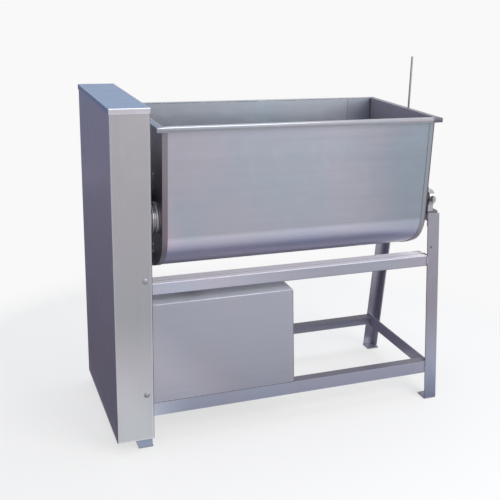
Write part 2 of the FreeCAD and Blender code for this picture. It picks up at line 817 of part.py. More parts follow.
def terminal_box():
    """Connection box that stands on the motor's top rib."""
    x0 = body_x + reducer_left + reducer_length + terminal_start
    z0 = drive_z + motor_radius
    half = terminal_width / 2
    case = box(x0, x0 + terminal_width, drive_y - half, drive_y + half, z0, z0 + terminal_height)
    corners = [e for e in case.Edges if e.BoundBox.ZLength > terminal_height / 2]
    return case.makeChamfer(terminal_corner, corners)


def feet_bolts():
    """Heads that hold the reducer and the motor down."""
    heads = []
    inset = 2 * bolt_head_radius
    reach = foot_plate_half - bolt_head_radius - block_corner / 2
    for x0 in (reducer_foot_x(), motor_foot_x()):
        for x in (x0 + inset, x0 + foot_plate_length - inset):
            for side in (-1, 1):
                heads.append(hexagon(V(x, drive_y + side * reach, base_top + foot_plate_thick), V(0, 0, 1)))
    return together(heads)


def tipping_bar():
    """Round upright bar beside the trough's right end."""
    return Part.makeCylinder(bar_radius, bar_top - bar_foot, V(bar_x, bar_y, bar_foot))


def bar_lugs():
    """Two lugs on the right end plate that hold the bar."""
    lugs = []
    for z in (bar_foot + lug_length, trough_top - lug_top_gap - lug_length):
        lug = box(trough_x1, bar_x + lug_half, bar_y - lug_half, bar_y + lug_half, z, z + lug_length)
        end_edges = [e for e in lug.Edges if e.BoundBox.XMin > bar_x and e.BoundBox.ZLength > lug_length / 2]
        lug = lug.makeChamfer(lug_half / 2, end_edges)
        lugs.append(lug.cut(Part.makeCylinder(bar_radius, lug_length + 2, V(bar_x, bar_y, z - 1))))
    return together(lugs)


def belly_height(y):
    """Height of the trough's outer bottom at a place across it."""
    radius, centre = outline_values(0)[2:]
    return centre - math.sqrt(radius ** 2 - (y - trough_y) ** 2)


def rest_pads():
    """Pads on the rear top rail that the trough lies on."""
    y1 = rear_plane(top_rail_height)
    y0 = y1 - top_rail_depth
    y_mid = (y0 + y1) / 2
    low_edge = y_mid - rest_size / 2
    top = belly_height(low_edge) - loose_fit
    pads = []
    for x in (trough_x0 + rest_inset, trough_x1 - rest_inset - rest_size):
        pads.append(box(x, x + rest_size, low_edge, low_edge + rest_size, top_rail_height, top))
    return together(pads)


def countershaft():
    """Short shaft inside the hollow trunnion."""
    left_end = body_x + lower_chain_x - sprocket_thick / 2 - shaft_overrun
    return rod(counter_radius, left_end, trough_x0 - counter_end_gap, pivot_y, pivot_z)


def counter_bushes():
    """Two bushes between the countershaft and the hollow trunnion."""
    outer = counter_radius + counter_bush_wall
    inner = counter_radius + running_fit
    x0 = leg_left_x - journal_overrun
    x1 = trough_x0 - counter_end_gap - panel_sheet
    return together([tube(outer, inner, x0, x0 + counter_bush_length, pivot_y, pivot_z),
                     tube(outer, inner, x1 - counter_bush_length, x1, pivot_y, pivot_z)])


def trestle_parts():
    """Legs, feet, rails and cross rails."""
    feet = []
    for end, x_corner, x_dir in (("left", leg_left_x, -1), ("right", leg_right_x, 1)):
        for place, side in (("front", 1), ("rear", -1)):
            save("leg_" + place + "_" + end, leg(x_corner, x_dir, side))
            feet.append(foot(x_corner, x_dir, side))
        x_outer = x_corner - x_dir * leg_wall
        x_inner = x_corner - x_dir * leg_flange
        save("lower_rail_" + end, end_rail(x_inner + x_dir * cross_rail_inset, x_outer,
                                           low_rail_height - low_rail_drop, low_rail_height, rail_wall, False))
        save("cross_head_" + end, end_rail(x_outer, x_inner, leg_top - head_drop, leg_top, head_wall, True))
    save("foot_plates", together(feet))
    save("top_rail_front", top_rail(1))
    save("top_rail_rear", top_rail(-1))
    save("lower_rail_front", low_rail(1))
    save("lower_rail_rear", low_rail(-1))
    save("trough_rest_pads", rest_pads())


def cabinet_parts():
    """Sheet cabinet over the chains."""
    save("cabinet_cover", cabinet_cover())
    save("cabinet_inner_panel", cabinet_panel())
    save("cabinet_cap", cabinet_cap())
    save("cover_bolts", cover_bolts())


def tilt_bearing_parts():
    """Seats, split blocks, bushes and bolts of the two bearings that the trough tips in."""
    left_x0 = leg_left_x + (leg_flange - left_block_width) / 2
    left_half = left_block_length / 2
    right_x0 = leg_right_x - leg_flange - right_block_overhang
    right_front = front_plane(leg_top)
    right_rear = right_front + right_block_length
    left_sizes = (journal_radius + bush_wall, left_block_wall, left_block_ear)
    right_sizes = (right_journal_radius + bush_wall, right_block_wall, right_block_ear)
    blocks = (("left", left_x0, left_x0 + left_block_width, pivot_y - left_half, pivot_y + left_half,
               leg_left_x, leg_left_x + leg_flange, left_sizes),
              ("right", right_x0, right_x0 + right_block_width, right_front, right_rear,
               right_x0, leg_right_x - right_seat_inset, right_sizes))
    seats = []
    bolts = []
    for end, x0, x1, y_a, y_b, seat_x0, seat_x1, (bore, wall, ear) in blocks:
        seats.append(box(seat_x0, seat_x1, y_a, y_b, leg_top, seat_top))
        lower, upper = bearing_block(x0, x1, y_a, y_b, bore, wall, ear)
        save("tilt_bearing_base_" + end, lower)
        save("tilt_bearing_cap_" + end, upper)
        save("tilt_bearing_bush_" + end, tube(bore, bore - bush_wall + running_fit, x0, x1, pivot_y, pivot_z))
        places = [y_b - foot_bolt_inset]
        if end == "left":
            places.append(y_a + foot_bolt_inset)
        bolts += block_bolts(x0, x1, places, bore, wall, ear)
    save("bearing_seats", together(seats))
    save("bearing_block_bolts", together(bolts))


def drive_parts():
    """Motor, reducer, their cover, the sprockets and the chains."""
    low_x = body_x + lower_chain_x
    high_x = body_x + upper_chain_x
    output_left = low_x - sprocket_thick / 2 - shaft_overrun
    output_right = body_x + reducer_left + reducer_socket - 1
    save("motor_box", motor_box())
    save("motor_bearers", motor_bearers())
    save("motor_base", motor_base())
    save("gear_reducer", gear_reducer())
    save("motor_body", motor_body())
    save("fan_cowl", fan_cowl())
    save("terminal_box", terminal_box())
    save("drive_feet_bolts", feet_bolts())
    save("reducer_output_shaft", rod(output_radius, output_left, output_right, drive_y, drive_z))
    save("output_sprocket", sprocket(small_teeth, low_x, drive_y, drive_z, output_radius))
    save("countershaft", countershaft())
    save("countershaft_large_sprocket", sprocket(large_teeth, low_x, pivot_y, pivot_z, counter_radius))
    save("countershaft_small_sprocket", sprocket(small_teeth, high_x, pivot_y, pivot_z, counter_radius))
    save("lower_chain", chain(low_x, drive_y, drive_z, small_teeth, pivot_y, pivot_z, large_teeth))
    save("upper_chain", chain(high_x, pivot_y, pivot_z, small_teeth, shaft_y, shaft_z, large_teeth))
    save("countershaft_bushes", counter_bushes())
    save("agitator_sprocket", sprocket(large_teeth, high_x, shaft_y, shaft_z, shaft_radius))


def trough_parts():
    """Trough with its trunnions and bearings, and the agitator inside it."""
    save("trough_shell", trough_shell())
    save("trough_end_left", trough_end(trough_x0, 1))
    save("trough_end_right", trough_end(trough_x1, -1))
    save("trough_rim", trough_rim())
    save("trunnion_left", trunnion_left())
    save("trunnion_right", trunnion_right())
    save("trunnion_bolts", trunnion_bolts())
    save("agitator_bearing_left", agitator_bearing(trough_x0, -1))
    save("agitator_bearing_right", agitator_bearing(trough_x1, 1))
    save("agitator_bearing_bolts", together(bearing_bolts(trough_x0, -1) + bearing_bolts(trough_x1, 1)))
    left_seal = shaft_seal(trough_x0 + trough_sheet, 1)
    right_seal = shaft_seal(trough_x1 - trough_sheet, -1)
    save("shaft_seals", together([left_seal, right_seal]))
    save("tipping_bar", tipping_bar())
    save("tipping_bar_lugs", bar_lugs())
    save("agitator_shaft", agitator_shaft())
    save("agitator_paddles", paddles())


def build():
    """Make every sub-part."""
    os.makedirs("parts", exist_ok=True)
    trestle_parts()
    cabinet_parts()
    tilt_bearing_parts()
    drive_parts()
    trough_parts()


build()
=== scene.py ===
"""Looks of a trough dough mixer in satin stainless steel, on a pale studio floor."""
import math

import bmesh
import bpy
from bpy.props import FloatProperty, FloatVectorProperty, IntProperty, PointerProperty
from mathutils import Matrix, Vector


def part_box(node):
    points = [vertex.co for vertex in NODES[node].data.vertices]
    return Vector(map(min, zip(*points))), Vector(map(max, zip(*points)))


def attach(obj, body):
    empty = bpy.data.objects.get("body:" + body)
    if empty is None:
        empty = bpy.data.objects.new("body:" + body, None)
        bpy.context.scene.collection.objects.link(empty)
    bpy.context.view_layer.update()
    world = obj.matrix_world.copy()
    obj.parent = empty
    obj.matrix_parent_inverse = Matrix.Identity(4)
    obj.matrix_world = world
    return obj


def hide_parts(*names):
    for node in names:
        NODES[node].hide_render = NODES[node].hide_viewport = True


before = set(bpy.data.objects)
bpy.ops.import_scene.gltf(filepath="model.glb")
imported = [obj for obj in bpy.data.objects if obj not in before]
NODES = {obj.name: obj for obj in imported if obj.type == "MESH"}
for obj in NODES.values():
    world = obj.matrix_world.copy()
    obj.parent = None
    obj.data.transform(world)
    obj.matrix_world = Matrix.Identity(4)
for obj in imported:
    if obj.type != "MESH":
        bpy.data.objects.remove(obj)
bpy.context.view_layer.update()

bl_info = {
    "name": "Trough Dough Mixer",
    "version": (1, 0, 0),
    "blender": (4, 5, 0),
    "location": "View3D > Sidebar > Mixer",
    "description": "Finishes and small fittings of a tilting trough dough mixer",
    "category": "Object",
}

# The photograph's frame, in pixels, and the lens worked out from it
PHOTO_SIZE = 500.0
FOCAL_PIXELS = 841.5
MIDDLE_X = 283.1
MIDDLE_Y = 226.0
SENSOR = 36.0

# The camera's place in metres and its turn in radians, from the straight edges in the photograph
CAMERA_PLACE = (-1.1182, -2.9126, 1.6279)
YAW, PITCH, ROLL = 0.388, 0.289, 0.033

# Floor disc, where it fades into the background, and how much of the background's tone it always shows
FLOOR_RADIUS = 14.0
FLOOR_DROP = 0.0005
FADE_START, FADE_END = 0.75, 1.7
FLOOR_GLOW = 0.7

# How much darker than white the background is to the eye
EYE_GREY = 0.055

# Lamps: name, place, target, size, colour
KEY_LAMP = ("Key lamp", (1.7, -3.2, 2.6), (0.1, 0.0, 0.7), 2.6, (1.0, 0.985, 0.96))
TOP_LAMP = ("Top lamp", (0.2, 0.3, 3.4), (0.0, 0.0, 0.9), 2.6, (0.90, 0.95, 1.0))

# Boards that only reflections see: name, place, size, turn in degrees about X and Z, near tone, far tone
CARDS = (
    ("Front card", (0.2, -0.45, 0.004), (1.3, 1.0), (0.0, 0.0), (0.075, 0.08, 0.13), (0.70, 0.70, 0.80)),
    ("Left card", (-1.68, 1.6, 0.004), (2.04, 4.4), (0.0, 0.0), (0.20, 0.19, 0.27), (0.15, 0.13, 0.18)),
    ("Rear card", (0.15, 1.15, 0.004), (1.5, 2.1), (0.0, 0.0), (0.09, 0.08, 0.13), (0.12, 0.11, 0.16)),
    ("Far left card", (-2.2, 3.6, 1.2), (3.6, 2.4), (90.0, 20.0), (0.32, 0.42, 0.60), (0.26, 0.25, 0.36)),
)

# Sizes and slopes of the CAD solids that the nodes' boxes don't give, in metres
LEG_LEAN = 0.116
TRESTLE_Y = -0.012
FLANGE_WALL = 0.030
LUG_LENGTH = 0.024
SEAT_LENGTH = 0.040
SHEET = 0.003
WALL_LEAN = 0.03
BEARING_NOSE = 0.0392

# Motor cover: radius of its rolled fold, its sheet, the angle past which its edges stay sharp, in degrees
COVER_ROLL = 0.036
COVER_SHEET = 0.002
COVER_EDGE_ANGLE = 30.0

# Angle past which an edge is sharp, in degrees, and distances at which points count as one or as level
EDGE_ANGLE = 35.0
MERGE = 0.00005
NEAR = 0.0001

# Weld beads: shares of the radius for the mean thickness, the ripple and the ends
BEAD_MEAN = 0.86
BEAD_WAVE = 0.14
BEAD_END = 0.4

# Hub rings: distance of each ring's left side from the end plate, and its width
HUB_RINGS = ((0.028, 0.011), (0.0145, 0.014))

# Seams and painted shadow lines: radius of the line, how deep its middle lies, its wave, where the rail's seam runs
# across its top. The lines under the rail and round the motor cover are painted shadow
SEAM_RADIUS = 0.0007
COVER_SEAM_SHADOW_RADIUS = SEAM_RADIUS * 1.3
SEAM_SINK = 0.0002
SEAM_WAVE = 0.02
RAIL_SEAM_SHARE = 0.4
MITRE_SINK = 0.0001
MITRE_INSET = 0.002
MITRE_WAVE = 0.01
COVER_SEAM_SHADOW_RISE = 0.0001
COVER_SEAM_SHADOW_INSET = 0.002
COVER_SEAM_SHADOW_TOP = 0.004

# Joint in the trough's rear wall: its place, its length down from the rim, its radius. The fillets in the rear
# corners stand off the end plate and the wall by small steps
WALL_SEAM_X = 0.441
WALL_SEAM_DROP = 0.36
WALL_SEAM_RADIUS = 0.0009
CORNER_INSET = 0.0005
CORNER_SINK = 0.001

# Rivets, screws and washers: places, then radius and height
LEG_RIVET_PLACE = (0.616, 0.624)
END_SCREWS = ((-0.131, 0.959), (-0.122, 0.707), (-0.121, 0.679))
RIVET_HEAD = (0.0045, 0.0022)
SCREW_HEAD = (0.006, 0.0035)
WASHER_REACH = 0.0035
WASHER_HEIGHT = 0.0014

# Grease nipple: distance from the housing's outer face, depth of its foot, outline as (height, radius)
NIPPLE_INSET = 0.008
NIPPLE_SINK = 0.0005
NIPPLE = ((0.0, 0.0045), (0.003, 0.0045), (0.0032, 0.0026), (0.006, 0.0026), (0.0068, 0.0034), (0.0085, 0.0034),
          (0.0105, 0.0022), (0.0108, 0.0008))

# Steels of the fittings: colour, roughness, clouds, metal share, bump
FITTING_STEELS = {
    "Polished fitting": ((0.62, 0.62, 0.65), 0.16, 0.1, 1.0, 0.05),
    "Polished hub": ((0.50, 0.49, 0.52), 0.30, 0.15, 1.0, 0.05),
    "Dull fitting": ((0.33, 0.32, 0.36), 0.35, 0.2, 0.9, 0.12),
}

# Welds and seams: colour, roughness, metal share, size of the pebbles, bump, dust
FITTING_COATS = {
    "Weld bead": ((0.27, 0.25, 0.28), 0.32, 0.9, 420.0, 0.4, 0.3),
    "Dark weld": ((0.10, 0.085, 0.095), 0.4, 0.7, 420.0, 0.4, 0.3),
    "Seam shadow": ((0.06, 0.06, 0.07), 0.6, 0.4, 300.0, 0.2, 0.1),
}

# Sheet pieces: grain direction, brightness, cloud size, colour and metal share of the faces that look up. The
# brightness makes lit and shaded copies of the one sheet steel, painted light and shade; the colour of the faces
# that look up is a painted reflection, light or dark
SHEET_LOOKS = {
    "cabinet_cover": ("z", 1.14, 2.6, None, 0.8),
    "cabinet_inner_panel": ("z", 0.95, 2.4, None, 0.8),
    "cabinet_cap": ("y", 1.10, 2.2, (0.088, 0.163, 0.305), 0.8),
    "trough_shell": ("x", 1.08, 2.8, None, 0.8),
    "trough_end_left": ("z", 0.7, 3.0, None, 0.8),
    "trough_end_right": ("z", 0.74, 3.0, None, 0.8),
    "trough_rim": ("x", 1.15, 4.0, None, 0.8),
    "motor_box": ("x", 1.08, 3.0, (0.74, 0.77, 0.86), 0.25),
}

# Cool and warm cloud tints of single pieces, where they differ from the common ones
SHEET_CLOUDS = {
    "cabinet_cover": {"cool": (0.27, 0.305, 0.31), "warm": (0.34, 0.29, 0.31)},
    "trough_shell": {"cool": (0.245, 0.275, 0.355), "warm": (0.33, 0.275, 0.325)},
    "motor_box": {"cool": (0.25, 0.28, 0.40), "warm": (0.31, 0.28, 0.37)},
}

# Painted light and shade on the sheet: tones that stand in for how the light falls on parts of each piece. Each zone
# is a direction in space, the way the faces look, the start and end of the rise along both, and the tone that
# multiplies the colour
SHEET_PAINTED_LIGHT = {
    "cabinet_cap": (((0, 0, 0), (0, -1, 0), 0.5, 0.8, (1.35, 1.35, 1.35)),
                    ((0, 0, 0), (-1, 0, 0), 0.5, 0.8, (0.55, 0.72, 1.02))),
    "cabinet_cover": (((0, 0, -1), (0, -4, 0), 3.45, 3.85, (1.62, 1.60, 1.56)),
                      ((0, 0, 0), (-1, 0, 0), 0.5, 0.8, (0.96, 0.94, 1.08))),
    "cabinet_inner_panel": (((0, 0, 1), (0, 0, 0), 0.92, 1.08, (1.9, 1.9, 1.9)),
                            ((0, 0, 0), (0, -1, 0), 0.5, 0.8, (0.30, 0.29, 0.33))),
    "trough_shell": (((0, -2, 0), (0, -1, 0), 1.2, 1.4, (1.03, 1.06, 1.10)),
                     ((0.5, -2, 0), (0, -1, 0), 1.58, 1.76, (0.74, 0.79, 0.80)),
                     ((0, 2, 0), (0, -1, 0), 1.0, 1.3, (1.0, 1.12, 1.15)),
                     ((10, 2, 0), (0, -1, 0), 5.90, 5.91, (0.92, 0.89, 0.90)),
                     ((-2, -2, -1), (0, -1, 0), 1.45, 1.75, (1.22, 1.02, 1.06)),
                     ((0, 0, 0), (0, 0, -1), 0.04, 0.14, (1.38, 1.36, 1.38)),
                     ((0, 0, 0), (0, 0, -1), 0.26, 0.56, (0.68, 0.69, 0.81)),
                     ((0, 0, 0), (0, 0, -1), 0.70, 0.95, (1.20, 1.18, 1.12))),
    "motor_box": (((-3, 0, -3), (0, -10, 0), 9.9, 10.6, (1.26, 1.22, 1.19)),
                  ((0, 0, 0), (0, 0, 1), 0.4, 0.9, (1.16, 1.14, 1.14)),
                  ((200, 0, 0), (0, -20, 0), 24.9, 25.2, (0.50, 0.44, 0.46)),
                  ((0, 0, -200), (0, -20, 0), -12.4, -12.1, (0.50, 0.47, 0.52))),
    "trough_end_left": (((0, 0, 0), (0, -1, 0), 0.3, 0.8, (0.78, 0.77, 0.79)),
                        ((0, 0, -1), (0, -2, 0), 0.95, 1.20, (0.86, 0.76, 0.80)),
                        ((0, 0, 1), (-1, 0, 0), 1.96, 2.10, (1.9, 1.9, 1.9))),
    "trough_end_right": (((0, 0, 0), (-1, 0, 0), 0.5, 0.8, (2.24, 1.91, 2.07)),
                         ((200, 0, 0), (0, -10, 0), 119.25, 119.4, (0.52, 0.40, 0.48))),
    "trough_rim": (((0, 0, -20), (0, -1, 0), -21.85, -21.75, (0.64, 0.64, 0.66)),
                   ((10, 0, 0), (0, 0, 0), 5.27, 5.40, (0.42, 0.37, 0.46)),
                   ((-10, 0, 0), (0, 0, 1), 5.45, 5.70, (0.26, 0.37, 0.55))),
}

# Frame pieces: nodes, material, tint of the frame's colour, roughness (None for the sheet's), grain direction,
# clouds, and what differs from the common steel. The tints make lit and shaded copies of the one frame steel:
# painted light and shade; the colours of the faces that look up are painted reflections and the zones painted light
# and shade
FRAME_LOOKS = (
    (("leg_front_left", "leg_front_right"), "Satin leg", (0.80, 0.80, 0.80), None, "z", 0.35,
     {"painted_light": (((0, 0, -1), (0, 0, 0), -0.42, -0.08, (1.30, 1.46, 1.62)),)}),
    (("leg_rear_left", "leg_rear_right"), "Satin rear leg", (1.5, 1.5, 1.5), None, "z", 0.35,
     {"painted_light": (((0, 0, -1), (0, 0, 0), -0.17, -0.05, (1.7, 1.62, 1.58)),
                ((0, 0, 0), (0, -1, 0), 0.4, 0.8, (0.80, 0.80, 0.82)))}),
    (("top_rail_front", "top_rail_rear"), "Satin rail", (1.24, 1.24, 1.24), None, "x", 0.35,
     {"painted_top_reflection": (0.94, 0.91, 0.97), "painted_top_reflection_metal": 0.05,
      "painted_light": (((-1, 0, 0), (0, -1, 0), 0.8, 1.4, (1.30, 1.33, 1.34)),)}),
    (("lower_rail_front",), "Satin lower rail", (1.66, 1.80, 1.80), None, "x", 0.35,
     {"painted_top_reflection": (0.16, 0.155, 0.20), "painted_top_reflection_metal": 0.6,
      "painted_light": (((-1, 0, 0), (0, -1, 0), 1.33, 1.5, (1.28, 1.26, 1.22)),)}),
    (("lower_rail_rear",), "Shaded lower rail", (1.36, 1.40, 1.44), None, "x", 0.35,
     {"painted_top_reflection": (0.075, 0.07, 0.10), "painted_top_reflection_metal": 0.6}),
    (("lower_rail_left", "lower_rail_right", "cross_head_left", "cross_head_right"), "Satin cross rail",
     (1.8, 1.8, 1.8), None, "y", 0.35, {}),
    (("foot_plates", "motor_bearers", "motor_base"), "Sawn plate", (1.1, 1.1, 1.1), 0.45, "y", 0.3, {}),
    (("bearing_seats",), "Dark seat", (0.35, 0.35, 0.35), 0.5, "y", 0.3, {}),
)

CASTINGS = ["tilt_bearing_base_left", "tilt_bearing_cap_left", "tilt_bearing_base_right", "tilt_bearing_cap_right",
            "agitator_bearing_left", "agitator_bearing_right"]
DRIVE = ["gear_reducer", "motor_body", "fan_cowl", "terminal_box"]
SHAFTS = ["trunnion_left", "trunnion_right", "countershaft", "reducer_output_shaft", "agitator_shaft",
          "agitator_paddles", "tipping_bar", "tipping_bar_lugs"]
CHAINS = ["lower_chain", "upper_chain", "output_sprocket", "agitator_sprocket", "countershaft_large_sprocket",
          "countershaft_small_sprocket"]
BOLTS = ["trunnion_bolts", "agitator_bearing_bolts", "bearing_block_bolts", "drive_feet_bolts"]
BUSHES = ["tilt_bearing_bush_left", "tilt_bearing_bush_right", "countershaft_bushes"]
RUBBERS = ["trough_rest_pads", "shaft_seals"]


class MixerFinish(bpy.types.PropertyGroup):
    """Colours and roughness of the metals."""
    sheet: FloatVectorProperty(name="Sheet steel", description="Colour of the trough and cabinet sheet",
                               default=(0.295, 0.298, 0.325), size=3, subtype="COLOR", min=0, max=1)
    frame_steel: FloatVectorProperty(name="Frame steel", description="Colour of the legs and rails",
                                     default=(0.27, 0.265, 0.315), size=3, subtype="COLOR", min=0, max=1)
    casting: FloatVectorProperty(name="Castings", description="Colour of the bearing housings",
                                 default=(0.36, 0.36, 0.38), size=3, subtype="COLOR", min=0, max=1)
    roughness: FloatProperty(name="Roughness", description="Mean roughness of the satin sheet", default=0.36,
                             min=0, max=1, subtype="FACTOR")
    mottle: FloatProperty(name="Mottle", description="Strength of the warm and cool clouds on the sheet",
                          default=0.5, min=0, max=1, subtype="FACTOR")


class MixerFittings(bpy.types.PropertyGroup):
    """Sizes of the small fittings."""
    weld_radius: FloatProperty(name="Weld bead", description="Radius of the fillet welds", default=0.003,
                               unit="LENGTH", subtype="DISTANCE")
    weld_ripple: FloatProperty(name="Weld ripple", description="Distance between the ripples of a weld",
                               default=0.0035, unit="LENGTH", subtype="DISTANCE")
    fold: FloatProperty(name="Fold radius", description="Softening of folded and sawn edges", default=0.0009,
                        unit="LENGTH", subtype="DISTANCE")
    ring_bulge: FloatProperty(name="Ring bulge", description="How far the hub's rings stand out", default=0.004,
                              unit="LENGTH", subtype="DISTANCE")
    nipple_sides: IntProperty(name="Nipple sides", description="Sides of a grease nipple", default=24, min=8)


class MixerStudio(bpy.types.PropertyGroup):
    """Lamps and floor."""
    key_power: FloatProperty(name="Key lamp", description="Power of the large lamp at the front right",
                             default=120.0, unit="POWER")
    top_power: FloatProperty(name="Top lamp", description="Power of the overhead lamp", default=60.0, unit="POWER")
    fill: FloatProperty(name="Room light", description="Strength of the light from all round", default=0.45,
                        min=0)
    floor: FloatVectorProperty(name="Floor", description="Colour of the floor", default=(0.86, 0.86, 0.87), size=3,
                               subtype="COLOR", min=0, max=1)


def link(tree, source, target):
    """Join two sockets."""
    tree.links.new(source, target)


def add_node(tree, kind, **values):
    """New shader node with values on its sockets."""
    node = tree.nodes.new("ShaderNode" + kind)
    for name, value in values.items():
        node.inputs[name].default_value = value
    return node


def coordinates(tree, kind="Object"):
    """Socket of the object's own coordinates or normals."""
    return add_node(tree, "TexCoord").outputs[kind]


def new_material(name):
    """Material with its node tree and its shader."""
    material = bpy.data.materials.new(name)
    material.use_nodes = True
    return material, material.node_tree, material.node_tree.nodes["Principled BSDF"]


def relief(tree, shader, height, strength, distance):
    """Let a height raise the shader's surface."""
    bump = add_node(tree, "Bump", Strength=strength, Distance=distance)
    link(tree, height, bump.inputs["Height"])
    link(tree, bump.outputs["Normal"], shader.inputs["Normal"])


def add_object(name, data):
    """New object in the scene."""
    item = bpy.data.objects.new(name, data)
    bpy.context.scene.collection.objects.link(item)
    return item


def new_group(name, inputs, outputs):
    """Empty shader group with its sockets; inputs are (name, kind, default)."""
    tree = bpy.data.node_groups.new(name, "ShaderNodeTree")
    for label, kind, default in inputs:
        socket = tree.interface.new_socket(name=label, in_out="INPUT", socket_type=kind)
        socket.default_value = default
    for label, kind in outputs:
        tree.interface.new_socket(name=label, in_out="OUTPUT", socket_type=kind)
    return tree, tree.nodes.new("NodeGroupInput"), tree.nodes.new("NodeGroupOutput")


def noise(tree, vector, scale, detail=3.0, roughness=0.5):
    """Noise texture read at a vector socket; scale may be a number or a socket."""
    node = add_node(tree, "TexNoise", Detail=detail, Roughness=roughness)
    if isinstance(scale, (int, float)):
        node.inputs["Scale"].default_value = scale
    else:
        link(tree, scale, node.inputs["Scale"])
    link(tree, vector, node.inputs["Vector"])
    return node.outputs["Fac"]


def maths(tree, operation, a, b=None, c=None):
    """Math node; each operand is a number or a socket."""
    node = add_node(tree, "Math")
    node.operation = operation
    for i, value in enumerate((a, b, c)):
        if value is None:
            continue
        if isinstance(value, (int, float)):
            node.inputs[i].default_value = value
        else:
            link(tree, value, node.inputs[i])
    return node.outputs[0]


def remap(tree, value, low, high):
    """Smooth step from 0 at low to 1 at high; each is a number or a socket."""
    node = add_node(tree, "MapRange")
    node.interpolation_type = "SMOOTHSTEP"
    link(tree, value, node.inputs["Value"])
    for name, number in (("From Min", low), ("From Max", high)):
        if isinstance(number, (int, float)):
            node.inputs[name].default_value = number
        else:
            link(tree, number, node.inputs[name])
    return node.outputs["Result"]


def mix_colour(tree, factor, a, b, blend="MIX"):
    """Mix of two colours; each is a socket or a tuple."""
    node = add_node(tree, "Mix")
    node.data_type = "RGBA"
    node.blend_type = blend
    if isinstance(factor, (int, float)):
        node.inputs[0].default_value = factor
    else:
        link(tree, factor, node.inputs[0])
    for socket, value in ((node.inputs[6], a), (node.inputs[7], b)):
        if isinstance(value, (tuple, list)):
            socket.default_value = (*value[:3], 1.0)
        else:
            link(tree, value, socket)
    return node.outputs[2]


def grain_group():
    """Fine lines left by brushing, stretched along one direction."""
    tree, start, end = new_group("Brushed grain", [("Stretch", "NodeSocketVector", (4.0, 300.0, 300.0))],
                                 [("Height", "NodeSocketFloat"), ("Streak", "NodeSocketFloat")])
    stretch = add_node(tree, "VectorMath")
    stretch.operation = "MULTIPLY"
    link(tree, coordinates(tree), stretch.inputs[0])
    link(tree, start.outputs["Stretch"], stretch.inputs[1])
    fine = noise(tree, stretch.outputs[0], 1.0, 4.0, 0.65)
    broad = noise(tree, stretch.outputs[0], 0.12, 2.0, 0.5)
    link(tree, fine, end.inputs["Height"])
    streak = maths(tree, "MULTIPLY_ADD", broad, 0.4, maths(tree, "MULTIPLY", fine, 0.6))
    link(tree, streak, end.inputs["Streak"])
    return tree


def cloud_group():
    """Slow drift between a cool and a warm tint, with light handling marks."""
    tree, start, end = new_group("Cool and warm clouds",
                                 [("Base", "NodeSocketColor", (0.5, 0.5, 0.5, 1.0)),
                                  ("Cool", "NodeSocketColor", (0.40, 0.50, 0.56, 1.0)),
                                  ("Warm", "NodeSocketColor", (0.54, 0.46, 0.52, 1.0)),
                                  ("Amount", "NodeSocketFloat", 0.5), ("Size", "NodeSocketFloat", 3.0)],
                                 [("Color", "NodeSocketColor"), ("Marks", "NodeSocketFloat")])
    place = coordinates(tree)
    drift = remap(tree, noise(tree, place, start.outputs["Size"], 2.0, 0.45), 0.38, 0.62)
    tint = mix_colour(tree, drift, start.outputs["Cool"], start.outputs["Warm"])
    marks = remap(tree, noise(tree, place, 22.0, 5.0, 0.6), 0.45, 0.75)
    amount = maths(tree, "MULTIPLY", start.outputs["Amount"], 0.6)
    link(tree, mix_colour(tree, amount, start.outputs["Base"], tint), end.inputs["Color"])
    link(tree, marks, end.inputs["Marks"])
    return tree


def edge_group():
    """Mask of the long edges of a box-shaped piece, where handling polishes the steel and a painted highlight
    lightens the colour.
    """
    tree, start, end = new_group("Polished edges and painted glint",
                                 [("Low", "NodeSocketVector", (0.0, 0.0, 0.0)),
                                  ("High", "NodeSocketVector", (1.0, 1.0, 1.0)),
                                  ("Width", "NodeSocketFloat", 0.004)],
                                 [("Mask", "NodeSocketFloat")])
    place = coordinates(tree)
    gaps = []
    splits = []
    for source in (place, start.outputs["Low"], start.outputs["High"]):
        node = add_node(tree, "SeparateXYZ")
        link(tree, source, node.inputs[0])
        splits.append(node)
    for axis in range(3):
        here, low, high = (s.outputs[axis] for s in splits)
        gaps.append(maths(tree, "MINIMUM", maths(tree, "ABSOLUTE", maths(tree, "SUBTRACT", here, low)),
                          maths(tree, "ABSOLUTE", maths(tree, "SUBTRACT", high, here))))
    small = maths(tree, "MINIMUM", gaps[0], gaps[1])
    large = maths(tree, "MAXIMUM", gaps[0], gaps[1])
    second = maths(tree, "MAXIMUM", small, maths(tree, "MINIMUM", large, gaps[2]))
    ragged = maths(tree, "MULTIPLY", noise(tree, place, 90.0, 3.0, 0.6), start.outputs["Width"])
    reach = maths(tree, "SUBTRACT", second, ragged)
    link(tree, remap(tree, reach, start.outputs["Width"], 0.0), end.inputs["Mask"])
    return tree


def level_group():
    """Mask of the faces that look up, which take a painted reflection of the ceiling, lighter or darker."""
    tree, start, end = new_group("Level faces", [("Start", "NodeSocketFloat", 0.75)], [("Mask", "NodeSocketFloat")])
    split = add_node(tree, "SeparateXYZ")
    link(tree, coordinates(tree, "Normal"), split.inputs[0])
    link(tree, remap(tree, split.outputs[2], start.outputs["Start"], 0.97), end.inputs["Mask"])
    return tree


